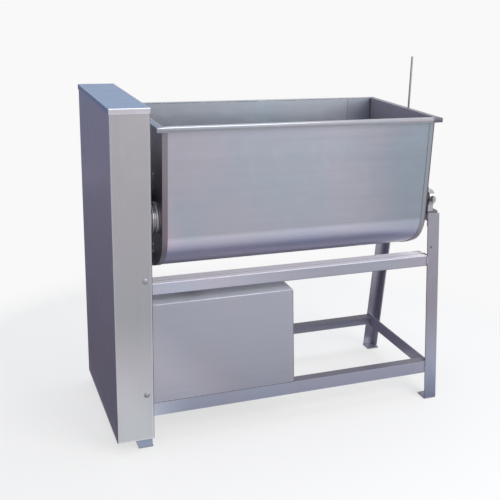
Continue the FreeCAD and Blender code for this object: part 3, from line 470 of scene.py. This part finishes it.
def painted_light_group():
    """Mask that rises along a direction in space, on the faces that look a given way, where painted light or shade
    goes.
    """
    tree, start, end = new_group("Painted light zone",
                                 [("Place", "NodeSocketVector", (0.0, 0.0, 1.0)),
                                  ("Facing", "NodeSocketVector", (0.0, 0.0, 0.0)),
                                  ("Start", "NodeSocketFloat", 0.0), ("End", "NodeSocketFloat", 1.0)],
                                 [("Mask", "NodeSocketFloat")])
    here = add_node(tree, "TexCoord")
    sums = []
    for source, weights in (("Object", "Place"), ("Normal", "Facing")):
        dot = add_node(tree, "VectorMath")
        dot.operation = "DOT_PRODUCT"
        link(tree, here.outputs[source], dot.inputs[0])
        link(tree, start.outputs[weights], dot.inputs[1])
        sums.append(dot.outputs["Value"])
    value = maths(tree, "ADD", sums[0], sums[1])
    link(tree, remap(tree, value, start.outputs["Start"], start.outputs["End"]), end.inputs["Mask"])
    return tree


def groups():
    """The shared shader groups, made once."""
    table = {}
    for name, make in (("Brushed grain", grain_group), ("Cool and warm clouds", cloud_group),
                       ("Polished edges and painted glint", edge_group), ("Level faces", level_group), ("Painted light zone", painted_light_group)):
        table[name] = bpy.data.node_groups.get(name) or make()
    return table


def place_group(tree, name, **values):
    """Instance of a shared group with its own values."""
    node = add_node(tree, "Group")
    node.node_tree = groups()[name]
    for key, value in values.items():
        node.inputs[key].default_value = value
    return node


# Depth of the brushing and of pebbled coats, in metres
BRUSH_DEPTH = 0.0004
PEBBLE_DEPTH = 0.0006

# Stretch of the brushing for each grain direction, and for turned surfaces
GRAIN = {"x": (5.0, 420.0, 420.0), "y": (420.0, 5.0, 420.0), "z": (420.0, 420.0, 5.0), "turned": (260.0, 60.0, 60.0)}


def steel(name, colour, roughness, grain, mottle, metallic=0.8, bump=0.12, box=None, cloud_size=3.0,
          cool=(0.22, 0.29, 0.35), warm=(0.33, 0.27, 0.32), painted_top_reflection=None, painted_top_reflection_metal=0.8, painted_light=()):
    """Satin steel: clouds in the colour, brushing in the roughness and bump, polished edges with a painted
    highlight, a painted reflection on the faces that look up, and zones of painted light and shade.
    """
    material, tree, shader = new_material(name)
    shader.inputs["Metallic"].default_value = metallic
    clouds = place_group(tree, "Cool and warm clouds", Base=(*colour, 1.0), Cool=(*cool, 1.0), Warm=(*warm, 1.0),
                         Amount=mottle, Size=cloud_size)
    lines = place_group(tree, "Brushed grain", Stretch=GRAIN[grain])
    shade = maths(tree, "MULTIPLY_ADD", lines.outputs["Streak"], 0.16, 0.92)
    colour_out = mix_colour(tree, 1.0, clouds.outputs["Color"], shade, "MULTIPLY")
    rough = maths(tree, "MULTIPLY_ADD", lines.outputs["Streak"], 0.16, roughness - 0.08)
    rough = maths(tree, "MULTIPLY_ADD", clouds.outputs["Marks"], 0.06, rough)
    if box is not None:
        low, high = box
        edges = place_group(tree, "Polished edges and painted glint", Low=tuple(low), High=tuple(high), Width=0.0035)
        # Painted highlight: the edges get a lighter colour; the lower roughness there is the polish of handling
        light = tuple(min(1.0, c * 1.2) for c in colour)
        colour_out = mix_colour(tree, edges.outputs["Mask"], colour_out, light)
        rough = maths(tree, "MULTIPLY_ADD", edges.outputs["Mask"], -0.15, rough)
    # Painted light and shade: each zone multiplies the colour by its tone
    for place, facing, first, last, tint in painted_light:
        zone = place_group(tree, "Painted light zone", Place=place, Facing=facing, Start=first, End=last)
        shaded = mix_colour(tree, 1.0, colour_out, tuple(c / 2 for c in tint), "MULTIPLY")
        doubled = mix_colour(tree, 1.0, shaded, shaded, "ADD")
        colour_out = mix_colour(tree, zone.outputs["Mask"], colour_out, doubled)
    # Painted reflection on the faces that look up: their own colour and metal share
    if painted_top_reflection is not None:
        flat = place_group(tree, "Level faces").outputs["Mask"]
        colour_out = mix_colour(tree, flat, colour_out, painted_top_reflection)
        link(tree, maths(tree, "MULTIPLY_ADD", flat, painted_top_reflection_metal - metallic, metallic), shader.inputs["Metallic"])
    link(tree, colour_out, shader.inputs["Base Color"])
    link(tree, rough, shader.inputs["Roughness"])
    relief(tree, shader, lines.outputs["Height"], bump, BRUSH_DEPTH)
    return material


def coated(name, colour, roughness, metallic, scale, bump, dust=0.15):
    """Painted casting, rubber or oiled metal: a pebbled surface with dust in the hollows."""
    material, tree, shader = new_material(name)
    shader.inputs["Metallic"].default_value = metallic
    place = coordinates(tree)
    pebble = noise(tree, place, scale, 4.0, 0.6)
    patches = remap(tree, noise(tree, place, 14.0, 3.0, 0.6), 0.4, 0.7)
    pale = tuple(min(1.0, c * 1.5 + 0.03) for c in colour)
    dusty = maths(tree, "MULTIPLY", patches, dust)
    link(tree, mix_colour(tree, dusty, colour, pale), shader.inputs["Base Color"])
    link(tree, maths(tree, "MULTIPLY_ADD", pebble, 0.25, roughness - 0.12), shader.inputs["Roughness"])
    relief(tree, shader, pebble, bump, PEBBLE_DEPTH)
    return material


def soften(item, width):
    """Round the sharp edges of an object."""
    bevel = item.modifiers.new("Fold", "BEVEL")
    bevel.width = width
    bevel.segments = 2
    bevel.limit_method = "ANGLE"
    bevel.angle_limit = math.radians(EDGE_ANGLE)
    bevel.harden_normals = True


def dress(name, material, fold=0.0):
    """Give a node its material, smooth its round faces and soften its sharp edges by the fold radius."""
    node = NODES[name]
    node.data.materials.clear()
    node.data.materials.append(material)
    for face in node.data.polygons:
        face.use_smooth = True
    for edge in node.data.edges:
        edge.use_edge_sharp = False
    node.data.set_sharp_from_angle(angle=math.radians(EDGE_ANGLE))
    if fold > 0:
        soften(node, fold)


class MIXER_OT_stage(bpy.types.Operator):
    """Lay the floor, set the lamps and stand the camera at the photograph's viewpoint"""
    bl_idname = "mixer.stage"
    bl_label = "Studio"

    def execute(self, context):
        studio = context.scene.mixer_studio
        make_floor(studio)
        make_world(studio)
        lamp(*KEY_LAMP, studio.key_power)
        lamp(*TOP_LAMP, studio.top_power)
        for values in CARDS:
            card(*values)
        make_camera(context)
        context.scene.view_settings.view_transform = "Standard"
        return {"FINISHED"}


def make_floor(studio):
    """Wide floor that fades into the pale background."""
    mesh = bpy.data.meshes.new("Floor")
    shape = bmesh.new()
    bmesh.ops.create_circle(shape, cap_ends=True, segments=96, radius=FLOOR_RADIUS)
    shape.to_mesh(mesh)
    shape.free()
    floor = add_object("Floor", mesh)
    floor.location = (0.0, 0.0, -FLOOR_DROP)
    material, tree, shader = new_material("Studio floor")
    shader.inputs["Roughness"].default_value = 0.9
    place = coordinates(tree)
    speck = noise(tree, place, 60.0, 3.0, 0.5)
    low = tuple(c * 0.985 for c in studio.floor)
    link(tree, mix_colour(tree, speck, low, tuple(studio.floor)), shader.inputs["Base Color"])
    length = add_node(tree, "VectorMath")
    length.operation = "LENGTH"
    link(tree, place, length.inputs[0])
    far = remap(tree, length.outputs["Value"], FADE_START, FADE_END)
    seen = light_path_mask(tree)
    glow = add_node(tree, "Emission", Color=(1.0, 1.0, 1.0, 1.0))
    link(tree, pale_strength(tree), glow.inputs["Strength"])
    blend = add_node(tree, "MixShader")
    link(tree, maths(tree, "MULTIPLY", maths(tree, "MAXIMUM", far, FLOOR_GLOW), seen), blend.inputs[0])
    link(tree, shader.outputs[0], blend.inputs[1])
    link(tree, glow.outputs[0], blend.inputs[2])
    link(tree, blend.outputs[0], tree.nodes["Material Output"].inputs["Surface"])
    mesh.materials.append(material)


def light_path_mask(tree):
    """1 for rays that show the background: seen, mirrored or refracted."""
    path = add_node(tree, "LightPath")
    either = maths(tree, "MAXIMUM", path.outputs["Is Camera Ray"], path.outputs["Is Glossy Ray"])
    return maths(tree, "MAXIMUM", either, path.outputs["Is Transmission Ray"])


def pale_strength(tree):
    """White in reflections, a shade paler grey to the eye."""
    seen = add_node(tree, "LightPath").outputs["Is Camera Ray"]
    return maths(tree, "SUBTRACT", 1.0, maths(tree, "MULTIPLY", seen, EYE_GREY))


def make_world(studio):
    """White to the eye and in reflections, softer as a light."""
    world = bpy.data.worlds.new("Studio room")
    world.use_nodes = True
    tree = world.node_tree
    for node in list(tree.nodes):
        tree.nodes.remove(node)
    seen = add_node(tree, "Background", Color=(1.0, 1.0, 1.0, 1.0))
    link(tree, pale_strength(tree), seen.inputs["Strength"])
    room = add_node(tree, "Background", Color=(0.93, 0.96, 1.0, 1.0), Strength=studio.fill)
    blend = add_node(tree, "MixShader")
    link(tree, light_path_mask(tree), blend.inputs[0])
    link(tree, room.outputs[0], blend.inputs[1])
    link(tree, seen.outputs[0], blend.inputs[2])
    out = add_node(tree, "OutputWorld")
    link(tree, blend.outputs[0], out.inputs["Surface"])
    bpy.context.scene.world = world


def lamp(name, place, target, size, colour, power):
    """Square soft lamp that looks at a target."""
    data = bpy.data.lights.new(name, "AREA")
    data.size = size
    data.energy = power
    data.color = colour
    item = add_object(name, data)
    item.location = place
    item.rotation_euler = (Vector(target) - Vector(place)).to_track_quat("-Z", "Y").to_euler()


def card(name, place, size, turn, near, far):
    """Flat board that only the steel's reflections see, shading from one tone to another along its Y."""
    mesh = bpy.data.meshes.new(name)
    half_x, half_y = size[0] / 2, size[1] / 2
    mesh.from_pydata([(-half_x, -half_y, 0), (half_x, -half_y, 0), (half_x, half_y, 0), (-half_x, half_y, 0)], [],
                     [(0, 1, 2, 3)])
    board = add_object(name, mesh)
    board.location = place
    board.rotation_euler = (math.radians(turn[0]), 0.0, math.radians(turn[1]))
    for kind in ("camera", "diffuse", "shadow", "transmission", "volume_scatter"):
        setattr(board, "visible_" + kind, False)
    material, tree, _ = new_material(name)
    split = add_node(tree, "SeparateXYZ")
    link(tree, coordinates(tree), split.inputs[0])
    along = remap(tree, split.outputs[1], half_y, -half_y)
    glow = add_node(tree, "Emission")
    link(tree, mix_colour(tree, along, near, far), glow.inputs["Color"])
    link(tree, glow.outputs[0], tree.nodes["Material Output"].inputs["Surface"])
    mesh.materials.append(material)


def make_camera(context):
    """Camera with the photograph's viewpoint and frame."""
    ahead = Vector((math.sin(YAW) * math.cos(PITCH), math.cos(YAW) * math.cos(PITCH), -math.sin(PITCH)))
    side = Vector((math.cos(YAW), -math.sin(YAW), 0.0))
    up = side.cross(ahead)
    turned_side = side * math.cos(ROLL) + up * math.sin(ROLL)
    turned_up = up * math.cos(ROLL) - side * math.sin(ROLL)
    matrix = Matrix((turned_side, turned_up, -ahead)).transposed().to_4x4()
    matrix.translation = Vector(CAMERA_PLACE)
    data = bpy.data.cameras.new("Camera")
    data.sensor_fit = "HORIZONTAL"
    data.sensor_width = SENSOR
    data.lens = FOCAL_PIXELS / PHOTO_SIZE * SENSOR
    data.shift_x = (PHOTO_SIZE / 2 - MIDDLE_X) / PHOTO_SIZE
    data.shift_y = (MIDDLE_Y - PHOTO_SIZE / 2) / PHOTO_SIZE
    camera = add_object("Camera", data)
    camera.matrix_world = matrix
    context.scene.camera = camera


class MIXER_OT_sheet(bpy.types.Operator):
    """Finish the cabinet, the trough and the motor box in satin sheet"""
    bl_idname = "mixer.sheet"
    bl_label = "Sheet steel"

    def execute(self, context):
        finish = context.scene.mixer_finish
        fold = context.scene.mixer_fittings.fold
        base = tuple(finish.sheet)
        # The brightness makes lit and shaded copies of the sheet steel: painted light and shade
        for name, (grain, bright, size, painted_top_reflection, painted_top_reflection_metal) in SHEET_LOOKS.items():
            box = None if name.startswith("trough_end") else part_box(name)
            material = steel("Satin " + name.replace("_", " "), tuple(c * bright for c in base), finish.roughness,
                             grain, finish.mottle, box=box, cloud_size=size, painted_top_reflection=painted_top_reflection, painted_top_reflection_metal=painted_top_reflection_metal,
                             painted_light=SHEET_PAINTED_LIGHT.get(name, ()), **SHEET_CLOUDS.get(name, {}))
            dress(name, material, fold)
        return {"FINISHED"}


class MIXER_OT_frame(bpy.types.Operator):
    """Finish the legs, rails and plates"""
    bl_idname = "mixer.frame"
    bl_label = "Frame steel"

    def execute(self, context):
        finish = context.scene.mixer_finish
        fold = context.scene.mixer_fittings.fold
        # The tints make lit and shaded copies of the frame steel: painted light and shade
        for names, label, tint, roughness, grain, clouds, rest in FRAME_LOOKS:
            colour = tuple(c * share for c, share in zip(finish.frame_steel, tint))
            material = steel(label, colour, roughness or finish.roughness, grain, clouds, **rest)
            for name in names:
                dress(name, material, fold)
        return {"FINISHED"}


class MIXER_OT_drive(bpy.types.Operator):
    """Finish the castings, shafts, chains, bolts, bushes and rubber"""
    bl_idname = "mixer.drive"
    bl_label = "Drive and bearings"

    def execute(self, context):
        finish = context.scene.mixer_finish
        casting = steel("Cast housing", tuple(finish.casting), 0.3, "turned", mottle=0.2, metallic=0.9)
        paint = coated("Motor paint", (0.10, 0.16, 0.22), 0.4, metallic=0.0, scale=120.0, bump=0.15)
        shaft = steel("Turned steel", (0.30, 0.30, 0.31), 0.32, "turned", mottle=0.15, metallic=1.0)
        chain = coated("Oiled chain", (0.12, 0.11, 0.10), 0.35, metallic=0.8, scale=300.0, bump=0.2, dust=0.3)
        bolt = steel("Bright bolt", (0.62, 0.62, 0.63), 0.25, "turned", mottle=0.1, metallic=1.0)
        screw = steel("Dull screw", (0.30, 0.29, 0.32), 0.42, "turned", mottle=0.2, metallic=0.7)
        bronze = steel("Bronze bush", (0.55, 0.36, 0.17), 0.35, "turned", mottle=0.1, metallic=1.0,
                       warm=(0.5, 0.3, 0.1), cool=(0.45, 0.33, 0.16))
        rubber = coated("Black rubber", (0.025, 0.025, 0.027), 0.7, metallic=0.0, scale=220.0, bump=0.4)
        for names, material in ((CASTINGS, casting), (DRIVE, paint), (SHAFTS, shaft), (CHAINS, chain),
                                (BOLTS, bolt), (BUSHES, bronze), (RUBBERS, rubber), (["cover_bolts"], screw)):
            for name in names:
                dress(name, material)
        return {"FINISHED"}


def middle(name):
    """Centre of a node's box."""
    low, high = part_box(name)
    return (Vector(low) + Vector(high)) / 2


def frame_axes(axis):
    """Two directions square to an axis, and to each other."""
    ahead = Vector(axis).normalized()
    other = Vector((0, 0, 1)) if abs(ahead.z) < 0.9 else Vector((1, 0, 0))
    first = ahead.cross(other).normalized()
    return ahead, first, ahead.cross(first)


def turned(shape, centre, axis, profile, sides):
    """Add a turned form: profile is a list of (distance along the axis, radius)."""
    ahead, first, second = frame_axes(axis)
    rings = []
    for along, radius in profile:
        ring = []
        for i in range(sides):
            turn = 2 * math.pi * i / sides
            out = first * math.cos(turn) + second * math.sin(turn)
            ring.append(shape.verts.new(Vector(centre) + ahead * along + out * radius))
        rings.append(ring)
    for ring_a, ring_b in zip(rings, rings[1:]):
        for i in range(sides):
            j = (i + 1) % sides
            shape.faces.new((ring_a[i], ring_a[j], ring_b[j], ring_b[i]))
    shape.faces.new(list(reversed(rings[0])))
    shape.faces.new(rings[-1])


def bead(shape, a, b, radius, ripple):
    """Add a weld bead from a to b: a thin round line whose surface rises and falls along it."""
    a, b = Vector(a), Vector(b)
    length = (b - a).length
    count = max(2, int(length / ripple * 4))
    profile = [(0.0, radius * BEAD_END)]
    for i in range(count + 1):
        along = length * i / count
        profile.append((along, radius * (BEAD_MEAN + BEAD_WAVE * math.sin(2 * math.pi * along / ripple))))
    profile.append((length, radius * BEAD_END))
    turned(shape, a, b - a, profile, 10)


def ring_bead(shape, centre, axis, reach, radius, ripple):
    """Add a weld bead that closes on itself round an axis."""
    ahead, first, second = frame_axes(axis)
    count = int(2 * math.pi * reach / ripple) * 4
    sides = 8
    rings = []
    for i in range(count):
        turn = 2 * math.pi * i / count
        out = first * math.cos(turn) + second * math.sin(turn)
        here = radius * (BEAD_MEAN + BEAD_WAVE * math.sin(math.pi * i / 2))
        ring = []
        for j in range(sides):
            roll = 2 * math.pi * j / sides
            ring.append(shape.verts.new(Vector(centre) + out * (reach + here * math.cos(roll)) +
                                        ahead * here * math.sin(roll)))
        rings.append(ring)
    for i in range(count):
        ring_a, ring_b = rings[i], rings[(i + 1) % count]
        for j in range(sides):
            k = (j + 1) % sides
            shape.faces.new((ring_a[j], ring_a[k], ring_b[k], ring_b[j]))


def piece(name, shape, material, body, angle=40.0):
    """Make an object from a bmesh that moves with a body."""
    mesh = bpy.data.meshes.new(name)
    bmesh.ops.recalc_face_normals(shape, faces=shape.faces[:])
    shape.to_mesh(mesh)
    shape.free()
    for face in mesh.polygons:
        face.use_smooth = True
    mesh.set_sharp_from_angle(angle=math.radians(angle))
    mesh.materials.append(material)
    item = add_object(name, mesh)
    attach(item, body)
    return item


def front_of_leg(z):
    """Y of the front legs' outer face at height z."""
    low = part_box("leg_front_right")[0]
    return low[1] + LEG_LEAN * (z - low[2])


def fitting(name):
    """Material of the small fittings, made at its first use."""
    ready = bpy.data.materials.get(name)
    if ready is not None:
        return ready
    if name in FITTING_STEELS:
        colour, roughness, clouds, metallic, bump = FITTING_STEELS[name]
        return steel(name, colour, roughness, "turned", clouds, metallic, bump)
    return coated(name, *FITTING_COATS[name])


def hub_radius():
    """Radius of the left trunnion's hub."""
    low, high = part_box("trunnion_left")
    return (high[2] - low[2]) / 2


def hub_rings(fittings):
    """Two rounded rings on the hub of the left trunnion, with a groove between them."""
    centre = middle("trunnion_left")
    radius = hub_radius()
    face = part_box("trough_end_left")[0][0]
    steps = 12
    shape = bmesh.new()
    for offset, width in HUB_RINGS:
        profile = [(0.0, radius * 0.99)]
        for i in range(steps + 1):
            share = i / steps
            profile.append((width * share, radius + fittings.ring_bulge * math.sin(math.pi * share)))
        profile.append((width, radius * 0.99))
        turned(shape, (face - offset, centre.y, centre.z), (1, 0, 0), profile, 96)
    piece("hub_rings", shape, fitting("Polished hub"), "trough")


def motor_cover(fittings):
    """The motor's cover with its rear top fold rolled to a wide radius."""
    shape = bmesh.new()
    shape.from_mesh(NODES["motor_box"].data)
    bmesh.ops.remove_doubles(shape, verts=shape.verts[:], dist=MERGE)
    low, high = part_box("motor_box")
    rear, top = high[1], high[2]
    tight = max(rear - v.co.y for v in shape.verts if v.co.z > top - NEAR and v.co.y > 0)
    small_y, small_z = rear - tight, top - tight
    large_y, large_z = rear - COVER_ROLL, top - COVER_ROLL
    for v in shape.verts:
        if v.co.y < small_y - NEAR or v.co.z < small_z - NEAR:
            continue
        if max(abs(v.co.y - (rear - COVER_SHEET)), abs(v.co.z - (top - COVER_SHEET))) < NEAR:
            v.co.y = large_y + (COVER_ROLL - COVER_SHEET) * math.sqrt(0.5)
            v.co.z = large_z + (COVER_ROLL - COVER_SHEET) * math.sqrt(0.5)
        else:
            v.co.y = large_y + (v.co.y - small_y) * COVER_ROLL / tight
            v.co.z = large_z + (v.co.z - small_z) * COVER_ROLL / tight
    cover = piece("motor_cover", shape, NODES["motor_box"].data.materials[0], "frame", COVER_EDGE_ANGLE)
    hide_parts("motor_box")
    soften(cover, fittings.fold)


def frame_welds(fittings):
    """Beads where the rails, the heads and the bearing seat meet the right legs."""
    radius, ripple = fittings.weld_radius, fittings.weld_ripple
    shape = bmesh.new()
    for name in ("top_rail_front", "lower_rail_front", "top_rail_rear", "lower_rail_rear"):
        low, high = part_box(name)
        x = high[0]
        front = name.endswith("front")
        face = low[1] - radius * 0.2 if front else high[1] + radius * 0.2
        bead(shape, (x, face, low[2] + radius), (x, face, high[2]), radius, ripple)
        if front:
            bead(shape, (x, low[1] + radius, high[2]), (x, low[1] + FLANGE_WALL, high[2]), radius, ripple)
    for name in ("lower_rail_right", "cross_head_right"):
        low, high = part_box(name)
        for side, y in ((-1, low[1]), (1, high[1])):
            drift = -side * LEG_LEAN * (high[2] - low[2])
            bead(shape, (low[0], y + side * radius * 0.1, low[2]), (low[0], y + drift, high[2]), radius, ripple)
    low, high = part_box("bearing_seats")
    seat_front = front_of_leg(low[2])
    bead(shape, (high[0] - SEAT_LENGTH, seat_front, low[2]), (high[0], seat_front, low[2]), radius * 0.7, ripple)
    piece("frame_welds", shape, fitting("Weld bead"), "frame")


def trough_welds(fittings):
    """Bead round the hub and the beads at the bar's lugs."""
    radius, ripple = fittings.weld_radius, fittings.weld_ripple
    shape = bmesh.new()
    hub = middle("trunnion_left")
    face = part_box("trough_end_left")[0][0]
    ring_bead(shape, (face, hub.y, hub.z), (1, 0, 0), hub_radius() + radius * 0.3, radius * 0.8, ripple)
    low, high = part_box("tipping_bar_lugs")
    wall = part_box("trough_end_right")[1][0]
    for z in (low[2], high[2] - LUG_LENGTH):
        for y in (low[1], high[1]):
            bead(shape, (wall, y, z), (wall, y, z + LUG_LENGTH), radius * 0.7, ripple)
    piece("trough_welds", shape, fitting("Weld bead"), "trough")


def rim_mitres():
    """Fine mitre lines across the corners of the rim."""
    low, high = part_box("trough_rim")
    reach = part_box("trough_end_left")[0][0] - low[0]
    z = high[2] - MITRE_SINK
    shape = bmesh.new()
    for x, dx in ((low[0], 1), (high[0], -1)):
        for y, dy in ((low[1], 1), (high[1], -1)):
            bead(shape, (x + dx * MITRE_INSET, y + dy * MITRE_INSET, z), (x + dx * reach, y + dy * reach, z),
                 SEAM_RADIUS, MITRE_WAVE)
    piece("rim_mitres", shape, fitting("Seam shadow"), "trough")


def frame_seams_and_painted_shadows():
    """Fine dark lines: the seam where the front rail's two folds meet, and painted shadow lines under the rail and
    round the motor cover.
    """
    low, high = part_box("top_rail_front")
    y, z = low[1] + (high[1] - low[1]) * RAIL_SEAM_SHARE, high[2] - SEAM_SINK
    face, under = low[1] - SEAM_SINK, low[2] + SEAM_RADIUS
    shape = bmesh.new()
    bead(shape, (low[0], y, z), (high[0], y, z), SEAM_RADIUS, SEAM_WAVE)
    # Painted shadow line under the rail's front face
    bead(shape, (low[0], face, under), (high[0], face, under), SEAM_RADIUS, SEAM_WAVE)
    low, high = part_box("motor_box")
    x, foot, top = high[0] + COVER_SEAM_SHADOW_RISE, low[2] + SEAM_RADIUS, high[2] - COVER_SEAM_SHADOW_TOP
    face, side_y = low[1] - SEAM_SINK, low[1] + COVER_SEAM_SHADOW_INSET
    # Painted shadow lines along the motor cover's foot and right edge
    bead(shape, (low[0], face, foot), (x, face, foot), COVER_SEAM_SHADOW_RADIUS, SEAM_WAVE)
    bead(shape, (x, side_y, foot), (x, side_y + LEG_LEAN * (top - low[2]), top), COVER_SEAM_SHADOW_RADIUS, SEAM_WAVE)
    piece("frame_seams_and_painted_shadows", shape, fitting("Seam shadow"), "frame")


def rear_wall_joint(fittings):
    """Dressed joint down the inside of the rear wall, and the fillets in the rear corners."""
    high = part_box("trough_shell")[1]
    wall, top = high[1] - SHEET, high[2] - SHEET
    foot_wall, foot = wall - WALL_LEAN * WALL_SEAM_DROP, top - WALL_SEAM_DROP
    inset, sink = SHEET + CORNER_INSET, CORNER_SINK
    shape = bmesh.new()
    for x in (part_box("trough_end_left")[0][0] + inset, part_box("trough_end_right")[1][0] - inset):
        bead(shape, (x, foot_wall - sink, foot), (x, wall - sink, top), fittings.weld_radius, fittings.weld_ripple)
    bead(shape, (WALL_SEAM_X, foot_wall, foot), (WALL_SEAM_X, wall, top), WALL_SEAM_RADIUS, SEAM_WAVE)
    piece("rear_wall_joint", shape, fitting("Dark weld"), "trough")


def dome(shape, centre, axis, radius, height):
    """Add a low round head standing on a face."""
    steps, sides = 6, 28
    profile = [(0.0, radius)]
    for i in range(steps):
        turn = math.pi / 2 * i / steps
        profile.append((height * (0.25 + 0.75 * math.sin(turn)), radius * math.cos(turn * 0.98)))
    turned(shape, centre, axis, profile, sides)


def leg_rivets():
    """Rivets on the right legs."""
    x, z = LEG_RIVET_PLACE
    front = front_of_leg(z)
    shape = bmesh.new()
    dome(shape, (x, front, z), (0, -1, 0), *RIVET_HEAD)
    dome(shape, (x, 2 * TRESTLE_Y - front, z), (0, 1, 0), *RIVET_HEAD)
    piece("leg_rivets", shape, fitting("Dark weld"), "frame")


def end_plate_screws():
    """Screws on the left end plate."""
    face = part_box("trough_end_left")[0][0]
    shape = bmesh.new()
    for y, z in END_SCREWS:
        dome(shape, (face, y, z), (-1, 0, 0), *SCREW_HEAD)
    piece("end_plate_screws", shape, fitting("Polished fitting"), "trough")


def cover_washers():
    """Washers under the cabinet's screws."""
    low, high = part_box("cover_bolts")
    cover_low, cover_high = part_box("cabinet_cover")
    x = (low[0] + high[0]) / 2
    head = (high[0] - low[0]) / 2
    reach = head + WASHER_REACH
    profile = [(0.0, reach), (0.0010, reach), (WASHER_HEIGHT, reach - 0.0005), (WASHER_HEIGHT, 0.001)]
    shape = bmesh.new()
    for z in (low[2] + head, high[2] - head):
        for y, out in ((cover_low[1], -1), (cover_high[1], 1)):
            turned(shape, (x, y, z), (0, out, 0), profile, 40)
    piece("cover_washers", shape, fitting("Dull fitting"), "frame")


def grease_nipples(fittings):
    """One nipple on each bearing."""
    for body, names in (("frame", ("tilt_bearing_cap_left", "tilt_bearing_cap_right")),
                        ("trough", ("agitator_bearing_left", "agitator_bearing_right"))):
        shape = bmesh.new()
        for name in names:
            low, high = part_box(name)
            centre = middle(name)
            x, z = centre.x, high[2]
            if body == "trough":
                x = high[0] - NIPPLE_INSET if name.endswith("right") else low[0] + NIPPLE_INSET
                z = centre.z + BEARING_NOSE
            turned(shape, (x, centre.y, z - NIPPLE_SINK), (0, 0, 1), NIPPLE, fittings.nipple_sides)
        piece("grease_nipples_" + body, shape, fitting("Polished fitting"), body)


class MIXER_OT_hub(bpy.types.Operator):
    """Add the rings on the hub of the left trunnion"""
    bl_idname = "mixer.hub"
    bl_label = "Hub rings"

    def execute(self, context):
        hub_rings(context.scene.mixer_fittings)
        return {"FINISHED"}


class MIXER_OT_cover(bpy.types.Operator):
    """Make the motor's cover with its wide rolled fold"""
    bl_idname = "mixer.cover"
    bl_label = "Motor cover"

    def execute(self, context):
        motor_cover(context.scene.mixer_fittings)
        return {"FINISHED"}


class MIXER_OT_welds(bpy.types.Operator):
    """Add the weld beads of the frame and the trough, and the joint in the rear wall"""
    bl_idname = "mixer.welds"
    bl_label = "Welds"

    def execute(self, context):
        fittings = context.scene.mixer_fittings
        frame_welds(fittings)
        trough_welds(fittings)
        rear_wall_joint(fittings)
        return {"FINISHED"}


class MIXER_OT_seams(bpy.types.Operator):
    """Draw the mitres of the rim, the seam of the rail, and painted shadow lines under the rail and round the motor
    cover
    """
    bl_idname = "mixer.seams"
    bl_label = "Seams"

    def execute(self, context):
        rim_mitres()
        frame_seams_and_painted_shadows()
        return {"FINISHED"}


class MIXER_OT_heads(bpy.types.Operator):
    """Add the rivets, the end plate's screws and the washers"""
    bl_idname = "mixer.heads"
    bl_label = "Rivets and screws"

    def execute(self, context):
        leg_rivets()
        end_plate_screws()
        cover_washers()
        return {"FINISHED"}


class MIXER_OT_nipples(bpy.types.Operator):
    """Add a grease nipple on each bearing"""
    bl_idname = "mixer.nipples"
    bl_label = "Grease nipples"

    def execute(self, context):
        grease_nipples(context.scene.mixer_fittings)
        return {"FINISHED"}


class MIXER_PT_panel(bpy.types.Panel):
    """Lists the steps that finish the mixer"""
    bl_idname = "MIXER_PT_panel"
    bl_label = "Dough mixer"
    bl_space_type = "VIEW_3D"
    bl_region_type = "UI"
    bl_category = "Mixer"

    def draw(self, context):
        layout = self.layout
        for setting, group in SETTINGS.items():
            for name in group.__annotations__:
                layout.prop(getattr(context.scene, setting), name)
        for operator in OPERATORS:
            layout.operator(operator.bl_idname)


SETTINGS = {"mixer_finish": MixerFinish, "mixer_fittings": MixerFittings, "mixer_studio": MixerStudio}
OPERATORS = (MIXER_OT_stage, MIXER_OT_sheet, MIXER_OT_frame, MIXER_OT_drive, MIXER_OT_hub, MIXER_OT_cover,
             MIXER_OT_welds, MIXER_OT_seams, MIXER_OT_heads, MIXER_OT_nipples)


def register():
    """Add the classes and their settings to Blender."""
    for item in (*SETTINGS.values(), *OPERATORS, MIXER_PT_panel):
        bpy.utils.register_class(item)
    for setting, group in SETTINGS.items():
        setattr(bpy.types.Scene, setting, PointerProperty(type=group))


def unregister():
    """Take the classes and their settings out of Blender."""
    for setting in SETTINGS:
        delattr(bpy.types.Scene, setting)
    for item in reversed((*SETTINGS.values(), *OPERATORS, MIXER_PT_panel)):
        bpy.utils.unregister_class(item)


def main():
    """Register and run every step in order."""
    register()
    bpy.ops.mixer.stage()
    bpy.ops.mixer.sheet()
    bpy.ops.mixer.frame()
    bpy.ops.mixer.drive()
    bpy.ops.mixer.hub()
    bpy.ops.mixer.cover()
    bpy.ops.mixer.welds()
    bpy.ops.mixer.seams()
    bpy.ops.mixer.heads()
    bpy.ops.mixer.nipples()


if __name__ == "__main__":
    main()
